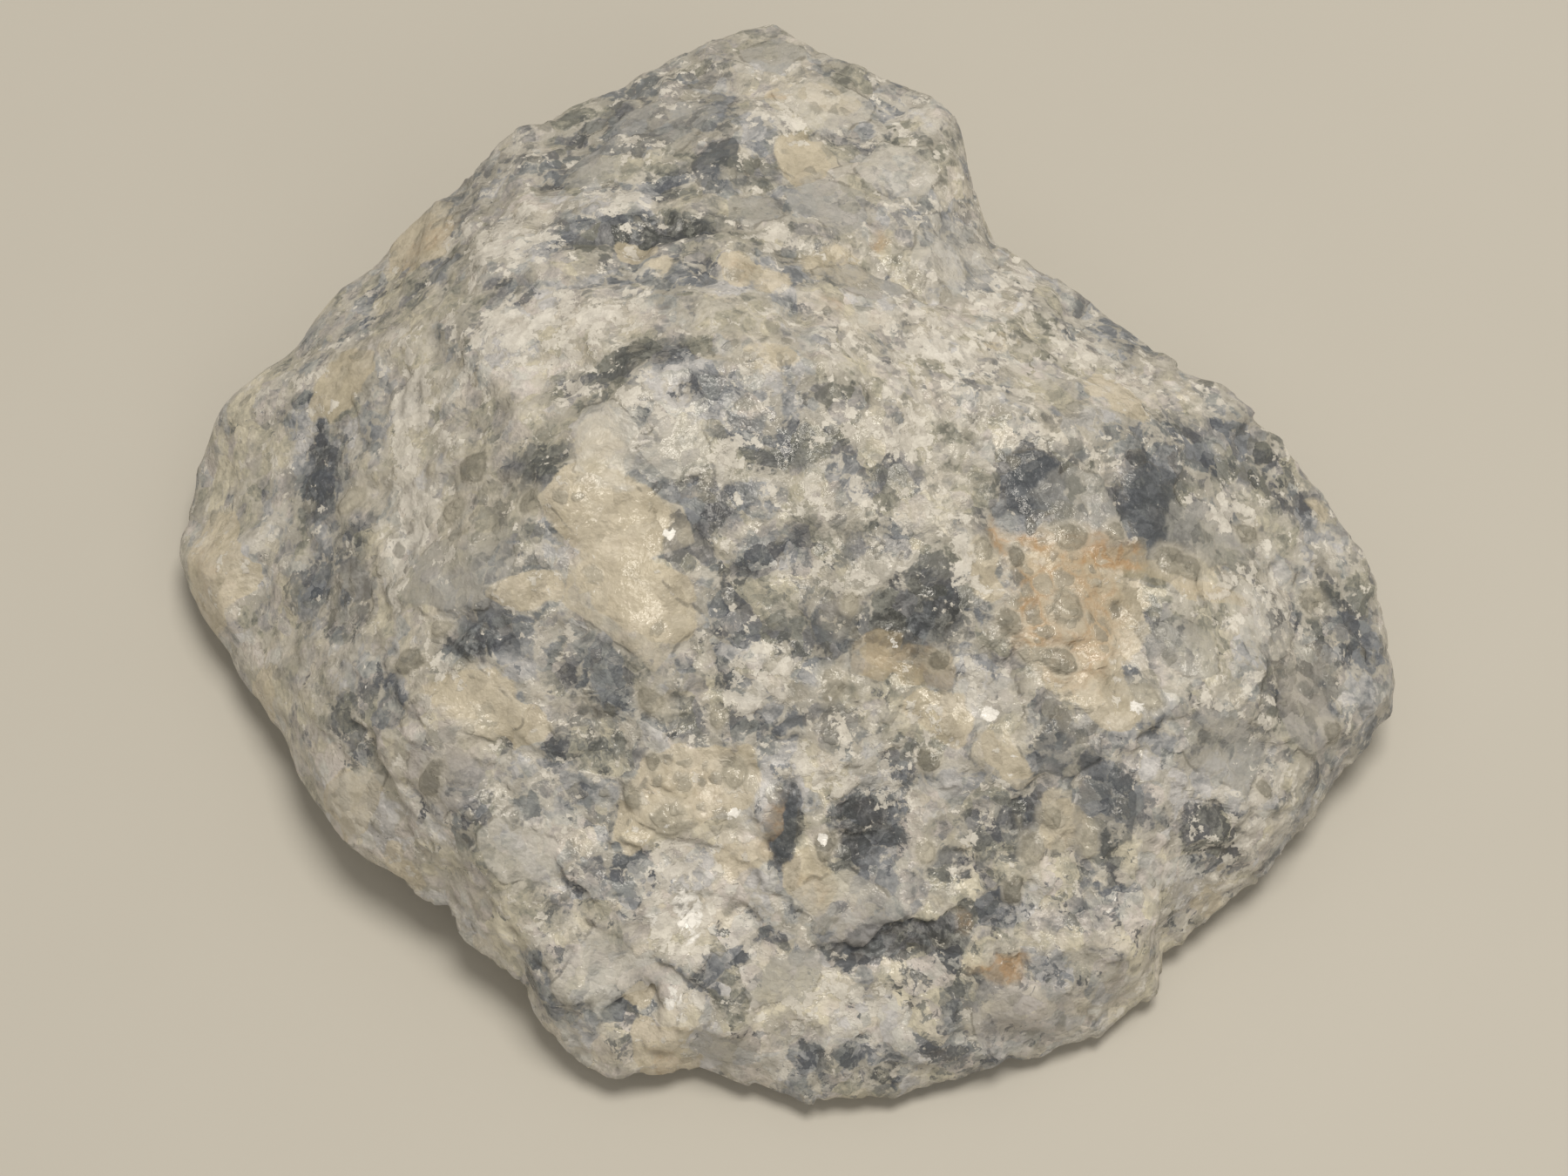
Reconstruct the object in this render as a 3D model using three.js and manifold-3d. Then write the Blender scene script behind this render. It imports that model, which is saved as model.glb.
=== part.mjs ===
// A rough hand specimen of blue-grey calcite: one broken piece of coarse crystalline stone, wider
// than it is high, with a sloping top of several fracture faces, a blunt lobe at the back, thin
// undercut edges all round and a small flat spot underneath that it rests on.
//
// The surface is worked out along rays from a heart point inside the stone. On each ray the stone
// ends where its fracture faces, its rim and its underside do. That end is then moved in or out by
// the relief: faceted lumps, cleavage blocks, and the ledges and hollows placed by hand.
//
// Millimetres and degrees. +Z is up, the table is z = 0, +Y points to the lobe at the back.
import * as THREE from "three";
import { mergeVertices } from "three/addons/utils/BufferGeometryUtils.js";
import Module from "manifold-3d";

// ---- Driving dimensions ----

const HEART = new THREE.Vector3(0, 0, 7.5); // where the rays start
const HALF_SIZE = new THREE.Vector3(30, 28, 11); // the rays are spread evenly over this ellipsoid
const BOX_MIDDLE = { x: -0.21, y: -0.48 }; // the middle of the finished stone, moved to the origin
const SOFTNESS = 0.5; // how far faces round into each other at their edges
const RIM_GROWTH = 0.35; // added to the rim's reach, for what the rounding takes off
const WALL_LEAN = 0.3; // how much the wall above the rim leans in, per millimetre of height

// The widest line round the stone: [bearing, reach from the middle, height above the table].
const RIM = [
  [3, 27.2, 6], [11, 24.4, 7.5], [23, 20.6, 9], [36, 18.8, 9.5], [51, 17.7, 10], [60, 19.2, 10],
  [67, 22.8, 10], [74, 23.8, 10.5], [84, 24.5, 11], [91, 27, 11], [95, 26.7, 11], [105, 25.2, 11],
  [120, 24.2, 10], [134, 24.6, 8.5], [144, 25.6, 7.5], [157, 27.3, 5.5], [167, 30.3, 4],
  [174, 31.7, 3], [182, 30.6, 2.6], [190, 28.6, 2.4], [198, 27.2, 2.8], [207, 26.8, 3.6],
  [216, 26.5, 4.2], [229, 25.1, 3.8], [241, 26.0, 3.0], [248, 27.9, 1.9], [253, 28.3, 1.5],
  [261, 26.6, 1.2], [268, 27.2, 1.1], [274, 28.3, 1.1], [280, 28.0, 1.0], [293, 28.1, 0.9],
  [302, 29.0, 0.9], [309, 28.9, 1.0], [312, 27.9, 1.3], [318, 28.2, 1.6], [331, 29.4, 2.2],
  [338, 30.1, 2.6], [344, 31.6, 3], [348, 31.2, 3.4], [357, 29.4, 4.6],
];

// The edge of the flat spot underneath: [bearing, reach].
const FLAT_SPOT = [
  [0, 15], [60, 12], [110, 15], [160, 14], [200, 16], [250, 17], [290, 18], [330, 16],
];

// Fracture faces: a point on the face, the bearing that it looks to, and its dip below level.
const MAIN_FACES = [
  { at: [-11.7, 2.4, 19.3], looks: 156, dip: 15 }, // upper left of the top
  { at: [-2.2, -8.1, 17.4], looks: -81, dip: 22 }, // middle of the top
  { at: [10.7, -5.7, 16.2], looks: -40, dip: 22 }, // right of the top
  { at: [0, -22.7, 6.9], looks: -88, dip: 35 }, // front
  { at: [-20.8, -5.8, 12.8], looks: -166, dip: 52 }, // left
  { at: [-28.5, -1.0, 6.0], looks: -169, dip: 40 }, // foot of the left
  { at: [-17.6, -17.6, 7.4], looks: -130, dip: 60 }, // front left corner
  { at: [-19.5, 8.4, 13.8], looks: 149, dip: 44 }, // back left
  { at: [-8.9, 15.4, 16.0], looks: 102, dip: 23 }, // back
  { at: [14.5, 7.0, 13.8], looks: 48, dip: 29 }, // back right, in the bay beside the lobe
  { at: [22.0, -3.2, 11.7], looks: -11, dip: 35 }, // right
  { at: [22.0, -14.2, 8.9], looks: -40, dip: 42 }, // front right
  { at: [22.5, -18.8, 4.8], looks: -50, dip: 48 }, // foot of the front right
];
const LOBE_FACES = [
  { at: [-8.9, 15.4, 16.8], looks: 102, dip: 22 }, // top of the lobe
  { at: [2.8, 16.0, 16.2], looks: 52, dip: 17 }, // right of its top
  { at: [9.5, 17.0, 12.8], looks: 8, dip: 52 }, // its right side
  { at: [1.5, 27.6, 12.3], looks: 80, dip: 48 }, // its far end
  { at: [-6.0, 22.0, 14.4], looks: 122, dip: 26 }, // left of the far end
  { at: [-2.0, 11.0, 18.4], looks: -90, dip: 40 }, // step up to it from the front
  { at: [-12.5, 18.0, 14.0], looks: 158, dip: 44 }, // its left side
];

// Ledges that stand up from the top and hollows (rise below 0) that sink into it, seen from above.
const LEDGES = [
  { at: [-15.2, -6.7], half: [3.4, 1.9], turn: -4, rise: 0.2 }, // block at the left edge
  { at: [-8.6, -2.0], half: [1.9, 1.8], turn: 10, rise: 0.1 }, // cream flakes, one on another
  { at: [-8.2, -5.4], half: [3.2, 1.9], turn: -15, rise: 0.15 },
  { at: [-6.8, -7.7], half: [2.4, 1.9], turn: -25, rise: 0.1 },
  { at: [-7.2, -9.2], half: [2.9, 1.3], turn: -10, rise: 0.1 },
  { at: [6.8, -8.4], half: [2.6, 1.9], turn: 15, rise: -0.15 }, // dark hollows
  { at: [-14.1, -10.2], half: [1.8, 1.2], turn: -10, rise: -0.15 },
  { at: [4.0, -16.8], half: [2.0, 2.6], turn: 25, rise: -0.15 },
  { at: [5.8, -22.3], half: [3.8, 1.1], turn: 8, rise: -0.15 },
  { at: [11.5, -2.4], half: [1.8, 2.6], turn: -15, rise: -0.12 },
  { at: [-6.3, 10.9], half: [3.2, 1.4], turn: 5, rise: -0.15 },
  { at: [18.0, -2.0], half: [2.3, 2.8], turn: 10, rise: -0.12 },
];
const LEDGE_SIDE = [0.75, 1.25]; // a ledge's sloping side, as shares of its half sizes

// Relief all over: [size, height] of each kind.
const LUMPS = { size: 8, height: 0.45 };
const KNOBS = { size: 3, height: 0.15 };
const BLOCKS = { size: 4.2, height: 0.45, sharpness: 16 };
const SWELL = { size: 9, height: 0.3 };
const WARP = { size: 5, reach: 0.6 }; // bends the pattern of lumps and blocks
const RELIEF_FADE = [0.2, 1.6]; // the relief grows from none to full between these heights
const RIM_CALM = { share: 0.35, height: 2.5 }; // relief left at the rim, full this far from it

const GRID_CELLS = 64; // cells along one side of the surface's square grid
const TOP_SHARE = 0.68; // the part of the grid that lies above the rim
const SIDE_SHARE = 0.96; // the part of the grid that lies outside the flat spot
const CUTTER = 20; // half the side of the block that cuts the flat spot

const radians = (degrees) => (degrees * Math.PI) / 180;
const bearingOf = (p) => (Math.atan2(p.y, p.x) * 180) / Math.PI;
const clamp01 = (t) => Math.min(1, Math.max(0, t));
const easeStep = (from, to, t) => {
  const s = clamp01((t - from) / (to - from));
  return s * s * (3 - 2 * s);
};

// The larger of a and b, with the corner between them rounded over the width k.
function softMax(a, b, k) {
  const h = Math.max(k - Math.abs(a - b), 0) / k;
  return Math.max(a, b) + (h * h * k) / 4;
}

// A value at a bearing, from a list of [bearing, ...] entries in rising order, read as a ring.
function onRing(ring, bearing, column) {
  const b = ((bearing % 360) + 360) % 360;
  let next = ring.findIndex((entry) => entry[0] > b);
  if (next < 0) next = ring.length;
  const [low, high] = [ring.at(next - 1), ring[next % ring.length]];
  const span = (high[0] - low[0] + 360) % 360;
  const share = ((b - low[0] + 360) % 360) / span;
  return low[column] + (high[column] - low[column]) * share;
}

// Distance outside a set of fracture faces: the largest height above any of their planes.
function outsideFaces(faces, p) {
  let most = null;
  for (const { at, looks, dip } of faces) {
    const [b, d] = [radians(looks), radians(dip)];
    const level = (p.x - at[0]) * Math.cos(b) + (p.y - at[1]) * Math.sin(b);
    const height = level * Math.sin(d) + (p.z - at[2]) * Math.cos(d);
    most = most === null ? height : softMax(most, height, SOFTNESS);
  }
  return most;
}

// Distance outside the stone without its relief. Below 0 is inside.
function outsideStone(p) {
  const bearing = bearingOf(p);
  const reach = Math.hypot(p.x, p.y);
  const rimReach = onRing(RIM, bearing, 1);
  const rimHeight = onRing(RIM, bearing, 2);
  const flatReach = onRing(FLAT_SPOT, bearing, 1);
  const leaning = WALL_LEAN * Math.max(p.z - rimHeight, 0);
  const wall = (reach - rimReach - RIM_GROWTH + leaning) / Math.hypot(1, WALL_LEAN);
  const slope = rimHeight / (rimReach - flatReach);
  const underside = (slope * (reach - flatReach) - p.z) / Math.hypot(1, slope);
  const top = -softMax(-outsideFaces(MAIN_FACES, p), -outsideFaces(LOBE_FACES, p), SOFTNESS);
  return softMax(softMax(wall, underside, SOFTNESS), top, SOFTNESS);
}

// A number from 0 to 1 that is always the same for the same lattice point and seed.
function hash(x, y, z, seed) {
  const h = Math.sin(x * 127.1 + y * 311.7 + z * 74.7 + seed * 53.3) * 43758.5453;
  return h - Math.floor(h);
}

// Smooth noise from -1 to 1: lattice numbers blended inside each cube.
function smoothNoise(p, size, seed) {
  const q = p.clone().divideScalar(size);
  const i = q.clone().floor();
  const f = q.sub(i);
  const [u, v, w] = [f.x, f.y, f.z].map((t) => t * t * (3 - 2 * t));
  let sum = 0;
  for (const a of [0, 1])
    for (const b of [0, 1])
      for (const c of [0, 1]) {
        const weight = (a ? u : 1 - u) * (b ? v : 1 - v) * (c ? w : 1 - w);
        sum += weight * hash(i.x + a, i.y + b, i.z + c, seed);
      }
  return sum * 2 - 1;
}

// Calls visit(offset, cell) for the seed point of each of the 27 lattice cells around q.
function eachSeed(q, seed, visit) {
  const cell = q.clone().floor();
  for (let a = -1; a <= 1; a++)
    for (let b = -1; b <= 1; b++)
      for (let c = -1; c <= 1; c++) {
        const [x, y, z] = [cell.x + a, cell.y + b, cell.z + c];
        const point = [hash(x, y, z, seed), hash(x, y, z, seed + 1), hash(x, y, z, seed + 2)];
        const offset = new THREE.Vector3(q.x - x - point[0], q.y - y - point[1], q.z - z - point[2]);
        visit(offset, [x, y, z]);
      }
}

// Flat-sided lumps: the distance to the nearest seed point, measured across four slanting faces.
const LUMP_SIDES = [
  new THREE.Vector3(0.86, 0.35, 0.37),
  new THREE.Vector3(-0.52, 0.79, 0.32),
  new THREE.Vector3(-0.1, -0.42, 0.9),
  new THREE.Vector3(0.45, -0.6, -0.66),
];
const LUMP_LEVEL = 0.45; // the distance that counts as neither lump nor dip
function lumps(p, size, seed) {
  let nearest = Infinity;
  eachSeed(p.clone().divideScalar(size), seed, (offset) => {
    const distance = Math.max(...LUMP_SIDES.map((side) => Math.abs(side.dot(offset))));
    nearest = Math.min(nearest, distance);
  });
  return LUMP_LEVEL - nearest;
}

// Cleavage blocks: each slanted cell has a flat face of its own tilt and level, and meets the
// next in a short step.
const CLEAVAGE = new THREE.Matrix3(1, 0, 0.15, 0.25, 1, 0, 0.1, 0.25, 1);
function blocks(p, { size, sharpness }, seed) {
  const found = [];
  eachSeed(p.clone().divideScalar(size).applyMatrix3(CLEAVAGE), seed, (offset, [x, y, z]) => {
    const distance = Math.max(Math.abs(offset.x), Math.abs(offset.y), Math.abs(offset.z));
    const tilt = [10, 11, 12].map((k) => hash(x, y, z, seed + k) * 2 - 1);
    const level = hash(x, y, z, seed + 20) - 0.5;
    const face = offset.x * tilt[0] + offset.y * tilt[1] + offset.z * tilt[2] + level;
    found.push({ distance, face });
  });
  const nearest = Math.min(...found.map((cell) => cell.distance));
  let [sum, total] = [0, 0];
  for (const { distance, face } of found) {
    const weight = Math.exp((nearest - distance) * sharpness);
    sum += weight * face;
    total += weight;
  }
  return sum / total;
}

// The ledges and hollows placed by hand: ovals with squarish ends and sloping sides.
function ledges(p) {
  let sum = 0;
  for (const { at, half, turn, rise } of LEDGES) {
    const [c, s] = [Math.cos(radians(turn)), Math.sin(radians(turn))];
    const [dx, dy] = [p.x - at[0], p.y - at[1]];
    const along = Math.abs(dx * c + dy * s) / half[0];
    const across = Math.abs(dy * c - dx * s) / half[1];
    sum += rise * (1 - easeStep(...LEDGE_SIDE, Math.cbrt(along ** 3 + across ** 3)));
  }
  return sum;
}

// How far the surface stands out from the plain stone at a point on it.
function relief(p) {
  const bent = p.clone();
  bent.x += WARP.reach * smoothNoise(p, WARP.size, 1);
  bent.y += WARP.reach * smoothNoise(p, WARP.size, 2);
  bent.z += WARP.reach * smoothNoise(p, WARP.size, 3);
  const all =
    LUMPS.height * lumps(bent, LUMPS.size, 30) +
    KNOBS.height * lumps(bent, KNOBS.size, 40) +
    BLOCKS.height * blocks(bent, BLOCKS, 60) +
    SWELL.height * smoothNoise(p, SWELL.size, 5) +
    (p.z > HEART.z / 2 ? ledges(bent) : 0);
  const fromRim = Math.abs(p.z - onRing(RIM, bearingOf(p), 2));
  const calm = RIM_CALM.share + (1 - RIM_CALM.share) * easeStep(0, RIM_CALM.height, fromRim);
  return all * calm * easeStep(...RELIEF_FADE, p.z);
}

// The point on a ray where the stone, grown by the given amount, ends: found by halving.
const RAY_REACH = 1.7;
const HALVINGS = 28;
function endOfRay(ray, growth) {
  let [low, high] = [0, RAY_REACH];
  const p = new THREE.Vector3();
  for (let k = 0; k < HALVINGS; k++) {
    const middle = (low + high) / 2;
    p.copy(ray).multiplyScalar(middle).add(HEART);
    if (outsideStone(p) < growth) low = middle;
    else high = middle;
  }
  return p;
}

// The ray through a point (u, v) of the square grid, each from -1 to 1. The square is bent to a
// disc, and the disc is wrapped round the sphere from its top to its lowest point. One ring of it
// runs along the rim of the stone and one round the flat spot.
function rayAt(u, v) {
  const wide = Math.abs(u) > Math.abs(v);
  const radius = wide ? u : v;
  let angle = 0;
  if (wide) angle = ((Math.PI / 4) * v) / u;
  else if (v !== 0) angle = Math.PI / 2 - ((Math.PI / 4) * u) / v;
  if (radius < 0) angle += Math.PI;
  const outward = new THREE.Vector3(Math.cos(angle), Math.sin(angle), 0).multiply(HALF_SIZE);
  const bearing = bearingOf(outward);
  const levelThrough = (reach, height) => {
    const steepness = ((height - HEART.z) / reach) * (outward.length() / HALF_SIZE.z);
    return steepness / Math.hypot(1, steepness);
  };
  const rimLevel = levelThrough(onRing(RIM, bearing, 1), onRing(RIM, bearing, 2));
  const flatLevel = levelThrough(onRing(FLAT_SPOT, bearing, 1), 0);
  const area = radius * radius;
  const mix = (from, to, start, end) => from + (to - from) * ((area - start) / (end - start));
  let level = mix(flatLevel, -1, SIDE_SHARE, 1);
  if (area < SIDE_SHARE) level = mix(rimLevel, flatLevel, TOP_SHARE, SIDE_SHARE);
  if (area < TOP_SHARE) level = mix(1, rimLevel, 0, TOP_SHARE);
  const ring = Math.sqrt(Math.max(0, 1 - level * level));
  return outward.multiplyScalar(ring).setZ(level * HALF_SIZE.z);
}

// The whole stone as a closed mesh: the grid's border is gathered into one point underneath.
function stoneMesh() {
  const n = GRID_CELLS;
  const border = (i, j) => i === 0 || j === 0 || i === n || j === n;
  const points = [endOfRay(rayAt(1, 1), 0)];
  const index = new Map();
  for (let i = 0; i <= n; i++)
    for (let j = 0; j <= n; j++) {
      if (border(i, j)) {
        index.set(i * (n + 1) + j, 0);
        continue;
      }
      const ray = rayAt((2 * i) / n - 1, (2 * j) / n - 1);
      index.set(i * (n + 1) + j, points.length);
      points.push(endOfRay(ray, relief(endOfRay(ray, 0))));
    }
  const triangles = [];
  for (let i = 0; i < n; i++)
    for (let j = 0; j < n; j++) {
      const corners = [[i, j], [i + 1, j], [i + 1, j + 1], [i, j + 1]];
      const [a, b, c, d] = corners.map(([p, q]) => index.get(p * (n + 1) + q));
      // The shorter diagonal keeps the creases clean.
      const split = points[a].distanceTo(points[c]) < points[b].distanceTo(points[d]);
      const pair = split ? [[a, b, c], [a, c, d]] : [[a, b, d], [b, c, d]];
      for (const t of pair) if (new Set(t).size === 3) triangles.push(...t);
    }
  return { points, triangles };
}

const wasm = await Module();
wasm.setup();

// A closed indexed mesh as a manifold-3d solid.
const solidOf = (vertProperties, triVerts) =>
  new wasm.Manifold(
    new wasm.Mesh({
      numProp: 3,
      vertProperties: Float32Array.from(vertProperties),
      triVerts: Uint32Array.from(triVerts),
    }),
  );

// Everything under the table's level is cut away, which leaves the flat spot.
function cutFlat({ points, triangles }) {
  const stone = solidOf(points.flatMap((p) => p.toArray()), triangles);
  const box = new THREE.BoxGeometry(2 * CUTTER, 2 * CUTTER, 2 * CUTTER);
  box.deleteAttribute("normal");
  box.deleteAttribute("uv");
  const cutter = mergeVertices(box.translate(0, 0, -CUTTER));
  return stone.subtract(solidOf(cutter.attributes.position.array, cutter.index.array));
}

function geometryOf(solid) {
  const { vertProperties, triVerts, numProp } = solid.getMesh();
  const count = vertProperties.length / numProp;
  const position = new Float32Array(count * 3);
  for (let k = 0; k < count; k++)
    position.set(vertProperties.subarray(k * numProp, k * numProp + 3), k * 3);
  const geometry = new THREE.BufferGeometry();
  geometry.setAttribute("position", new THREE.BufferAttribute(position, 3));
  geometry.setIndex(new THREE.BufferAttribute(triVerts, 1));
  geometry.computeVertexNormals();
  return geometry;
}

const calcite = new THREE.MeshStandardMaterial({ color: 0x9a958a, roughness: 0.5, metalness: 0 });
const stone = new THREE.Mesh(geometryOf(cutFlat(stoneMesh())), calcite);
stone.name = "calcite_stone";
stone.position.set(-BOX_MIDDLE.x, -BOX_MIDDLE.y, 0);

const specimen = new THREE.Group();
specimen.name = "calcite_specimen";
specimen.add(stone);

export default specimen;
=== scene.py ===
import bpy
import numpy as np
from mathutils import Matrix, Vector


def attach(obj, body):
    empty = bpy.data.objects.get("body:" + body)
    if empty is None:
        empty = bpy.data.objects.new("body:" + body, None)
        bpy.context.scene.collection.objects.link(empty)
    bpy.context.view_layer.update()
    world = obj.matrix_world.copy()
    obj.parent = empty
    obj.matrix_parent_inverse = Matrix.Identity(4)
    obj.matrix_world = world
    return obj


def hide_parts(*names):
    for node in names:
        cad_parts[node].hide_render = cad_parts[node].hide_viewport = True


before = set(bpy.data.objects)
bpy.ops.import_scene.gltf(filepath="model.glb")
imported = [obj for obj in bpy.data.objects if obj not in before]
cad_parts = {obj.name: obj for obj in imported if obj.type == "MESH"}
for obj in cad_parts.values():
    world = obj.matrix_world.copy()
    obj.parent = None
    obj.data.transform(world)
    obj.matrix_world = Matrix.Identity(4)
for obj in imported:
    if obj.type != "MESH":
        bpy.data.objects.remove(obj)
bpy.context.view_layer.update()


# ---------------------------------------------------------------------------------------------
# The stone: one piece of coarse blue-grey calcite, broken out of a larger mass by hammer. Its
# outside is a patchwork of fracture faces, with cleavage steps, crushed white grains and small
# round grains on them. It lies on the one flat spot that it has underneath.
# ---------------------------------------------------------------------------------------------

HEART = np.array([0.0, 0.0, 7.5])  # millimetres in this section until the mesh is made
HALF_SIZE = np.array([30.0, 28.0, 11.0])
BOX_MIDDLE = np.array([-0.21, -0.48, 0.0])
SOFTNESS = 0.5
RIM_GROWTH = 0.35
WALL_LEAN = 0.3

RIM = np.array([  # bearing, reach, height
    (3, 27.2, 6), (11, 24.4, 7.5), (23, 20.6, 9), (36, 18.8, 9.5), (51, 17.7, 10), (60, 19.2, 10),
    (67, 22.8, 10), (74, 23.8, 10.5), (84, 24.5, 11), (91, 27, 11), (95, 26.7, 11), (105, 25.2, 11),
    (120, 24.2, 10), (134, 24.6, 8.5), (144, 25.6, 7.5), (157, 27.3, 5.5), (167, 30.3, 4),
    (174, 31.7, 3), (182, 30.6, 2.6), (190, 28.6, 2.4), (198, 27.2, 2.8), (207, 26.8, 3.6),
    (216, 26.5, 4.2), (229, 25.1, 3.8), (241, 26.0, 3.0), (248, 27.9, 1.9), (253, 28.3, 1.5),
    (261, 26.6, 1.2), (268, 27.2, 1.1), (274, 28.3, 1.1), (280, 28.0, 1.0), (293, 28.1, 0.9),
    (302, 29.0, 0.9), (309, 28.9, 1.0), (312, 27.9, 1.3), (318, 28.2, 1.6), (331, 29.4, 2.2),
    (338, 30.1, 2.6), (344, 31.6, 3), (348, 31.2, 3.4), (357, 29.4, 4.6)])
FLAT_SPOT = np.array([
    (0, 15), (60, 12), (110, 15), (160, 14), (200, 16), (250, 17), (290, 18), (330, 16)])
MAIN_FACES = [  # point on the face, the bearing that it looks to, its dip
    (-11.7, 2.4, 19.3, 156, 15), (-2.2, -8.1, 17.4, -81, 22), (10.7, -5.7, 16.2, -40, 22),
    (0, -22.7, 6.9, -88, 35), (-20.8, -5.8, 12.8, -166, 52), (-28.5, -1.0, 6.0, -169, 40),
    (-17.6, -17.6, 7.4, -130, 60), (-19.5, 8.4, 13.8, 149, 44), (-8.9, 15.4, 16.0, 102, 23),
    (14.5, 7.0, 13.8, 48, 29), (22.0, -3.2, 11.7, -11, 35), (22.0, -14.2, 8.9, -40, 42),
    (22.5, -18.8, 4.8, -50, 48)]
LOBE_FACES = [
    (-8.9, 15.4, 16.8, 102, 22), (2.8, 16.0, 16.2, 52, 17), (9.5, 17.0, 12.8, 8, 52),
    (1.5, 27.6, 12.3, 80, 48), (-6.0, 22.0, 14.4, 122, 26), (-2.0, 11.0, 18.4, -90, 40),
    (-12.5, 18.0, 14.0, 158, 44)]
LEDGES = [  # middle x and y, half length and half width, turn, rise
    (-15.2, -6.7, 3.4, 1.9, -4, 0.2), (-8.6, -2.0, 1.9, 1.8, 10, 0.1), (-8.2, -5.4, 3.2, 1.9, -15, 0.15),
    (-6.8, -7.7, 2.4, 1.9, -25, 0.1), (-7.2, -9.2, 2.9, 1.3, -10, 0.1), (6.8, -8.4, 2.6, 1.9, 15, -0.15),
    (-14.1, -10.2, 1.8, 1.2, -10, -0.15), (4.0, -16.8, 2.0, 2.6, 25, -0.15),
    (5.8, -22.3, 3.8, 1.1, 8, -0.15), (11.5, -2.4, 1.8, 2.6, -15, -0.12),
    (-6.3, 10.9, 3.2, 1.4, 5, -0.15), (18.0, -2.0, 2.3, 2.8, 10, -0.12)]


def soft_max(a, b, width):
    """The larger of a and b, plus a quarter of the squared overlap where they nearly meet."""
    h = np.maximum(width - np.abs(a - b), 0) / width
    return np.maximum(a, b) + h * h * width / 4


def ease(start, end, t):
    """0 before start, 1 after end, and three squares minus two cubes between."""
    s = np.clip((t - start) / (end - start), 0, 1)
    return s * s * (3 - 2 * s)


def on_ring(table, bearing, column):
    """A column of a table of bearings, read round the full circle in straight steps."""
    return np.interp(bearing, table[:, 0], table[:, column], period=360)


def bearing_of(p):
    return np.degrees(np.arctan2(p[..., 1], p[..., 0]))


def outside_faces(faces, p):
    """The largest height of p above any of the faces' planes."""
    most = None
    for x, y, z, looks, dip in faces:
        b, d = np.radians(looks), np.radians(dip)
        level = (p[..., 0] - x) * np.cos(b) + (p[..., 1] - y) * np.sin(b)
        height = level * np.sin(d) + (p[..., 2] - z) * np.cos(d)
        most = height if most is None else soft_max(most, height, SOFTNESS)
    return most


def outside_stone(p):
    """Distance outside the plain stone: the largest of wall, underside and fracture faces."""
    bearing, reach, z = bearing_of(p), np.hypot(p[..., 0], p[..., 1]), p[..., 2]
    rim_reach, rim_height = on_ring(RIM, bearing, 1), on_ring(RIM, bearing, 2)
    flat_reach = on_ring(FLAT_SPOT, bearing, 1)
    leaning = WALL_LEAN * np.maximum(z - rim_height, 0)
    wall = (reach - rim_reach - RIM_GROWTH + leaning) / np.hypot(1, WALL_LEAN)
    slope = rim_height / (rim_reach - flat_reach)
    underside = (slope * (reach - flat_reach) - z) / np.hypot(1, slope)
    top = -soft_max(-outside_faces(MAIN_FACES, p), -outside_faces(LOBE_FACES, p), SOFTNESS)
    return soft_max(soft_max(wall, underside, SOFTNESS), top, SOFTNESS)


def lattice_number(x, y, z, seed):
    """The fraction left of a large sine: a fixed number from 0 to 1 for each lattice point."""
    h = np.sin(x * 127.1 + y * 311.7 + z * 74.7 + seed * 53.3) * 43758.5453
    return h - np.floor(h)


def smooth_noise(p, size, seed):
    """Lattice numbers blended inside each cube of that size, from -1 to 1."""
    q = p / size
    i = np.floor(q)
    f = q - i
    u = f * f * (3 - 2 * f)
    total = 0
    for corner in np.ndindex(2, 2, 2):
        weight = np.prod(np.where(corner, u, 1 - u), axis=-1)
        total = total + weight * lattice_number(*np.moveaxis(i + corner, -1, 0), seed)
    return total * 2 - 1


def layered_noise(p, size, seed, layers=4, keep=0.55):
    """Smooth noise, plus the same at half the size and a share of the height, and so on."""
    total, height, full = 0, 1.0, 0.0
    for k in range(layers):
        total = total + height * smooth_noise(p, size / 2**k, seed + 7 * k)
        full += height
        height *= keep
    return total / full * 1.6


def seeds_near(q, seed):
    """For each of the 27 lattice cells round q: the way from its seed point, and the cell."""
    i = np.floor(q)
    for step in np.ndindex(3, 3, 3):
        cell = np.moveaxis(i + np.array(step) - 1, -1, 0)
        point = np.stack([lattice_number(*cell, seed + k) for k in range(3)], -1)
        yield q - np.moveaxis(cell, 0, -1) - point, cell


LUMP_SIDES = np.array([(0.86, 0.35, 0.37), (-0.52, 0.79, 0.32), (-0.1, -0.42, 0.9), (0.45, -0.6, -0.66)])


def lumps(p, size, seed):
    """A level less the distance to the nearest seed, measured across four slanting faces."""
    nearest = np.inf
    for offset, cell in seeds_near(p / size, seed):
        nearest = np.minimum(nearest, np.abs(offset @ LUMP_SIDES.T).max(-1))
    return 0.45 - nearest


CLEAVAGE = np.array([(1, 0.25, 0.1), (0, 1, 0.25), (0.15, 0, 1)])


def blocks(p, size, sharpness, seed):
    """Each slanted cell's own tilted plane, blended sharply from the nearest cells."""
    distances, faces = [], []
    for offset, cell in seeds_near((p / size) @ CLEAVAGE, seed):
        tilt = np.stack([lattice_number(*cell, seed + k) * 2 - 1 for k in (10, 11, 12)], -1)
        distances.append(np.abs(offset).max(-1))
        faces.append((offset * tilt).sum(-1) + lattice_number(*cell, seed + 20) - 0.5)
    nearest = np.minimum.reduce(distances)
    weights = [np.exp((nearest - d) * sharpness) for d in distances]
    return sum(w * f for w, f in zip(weights, faces)) / sum(weights)


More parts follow.
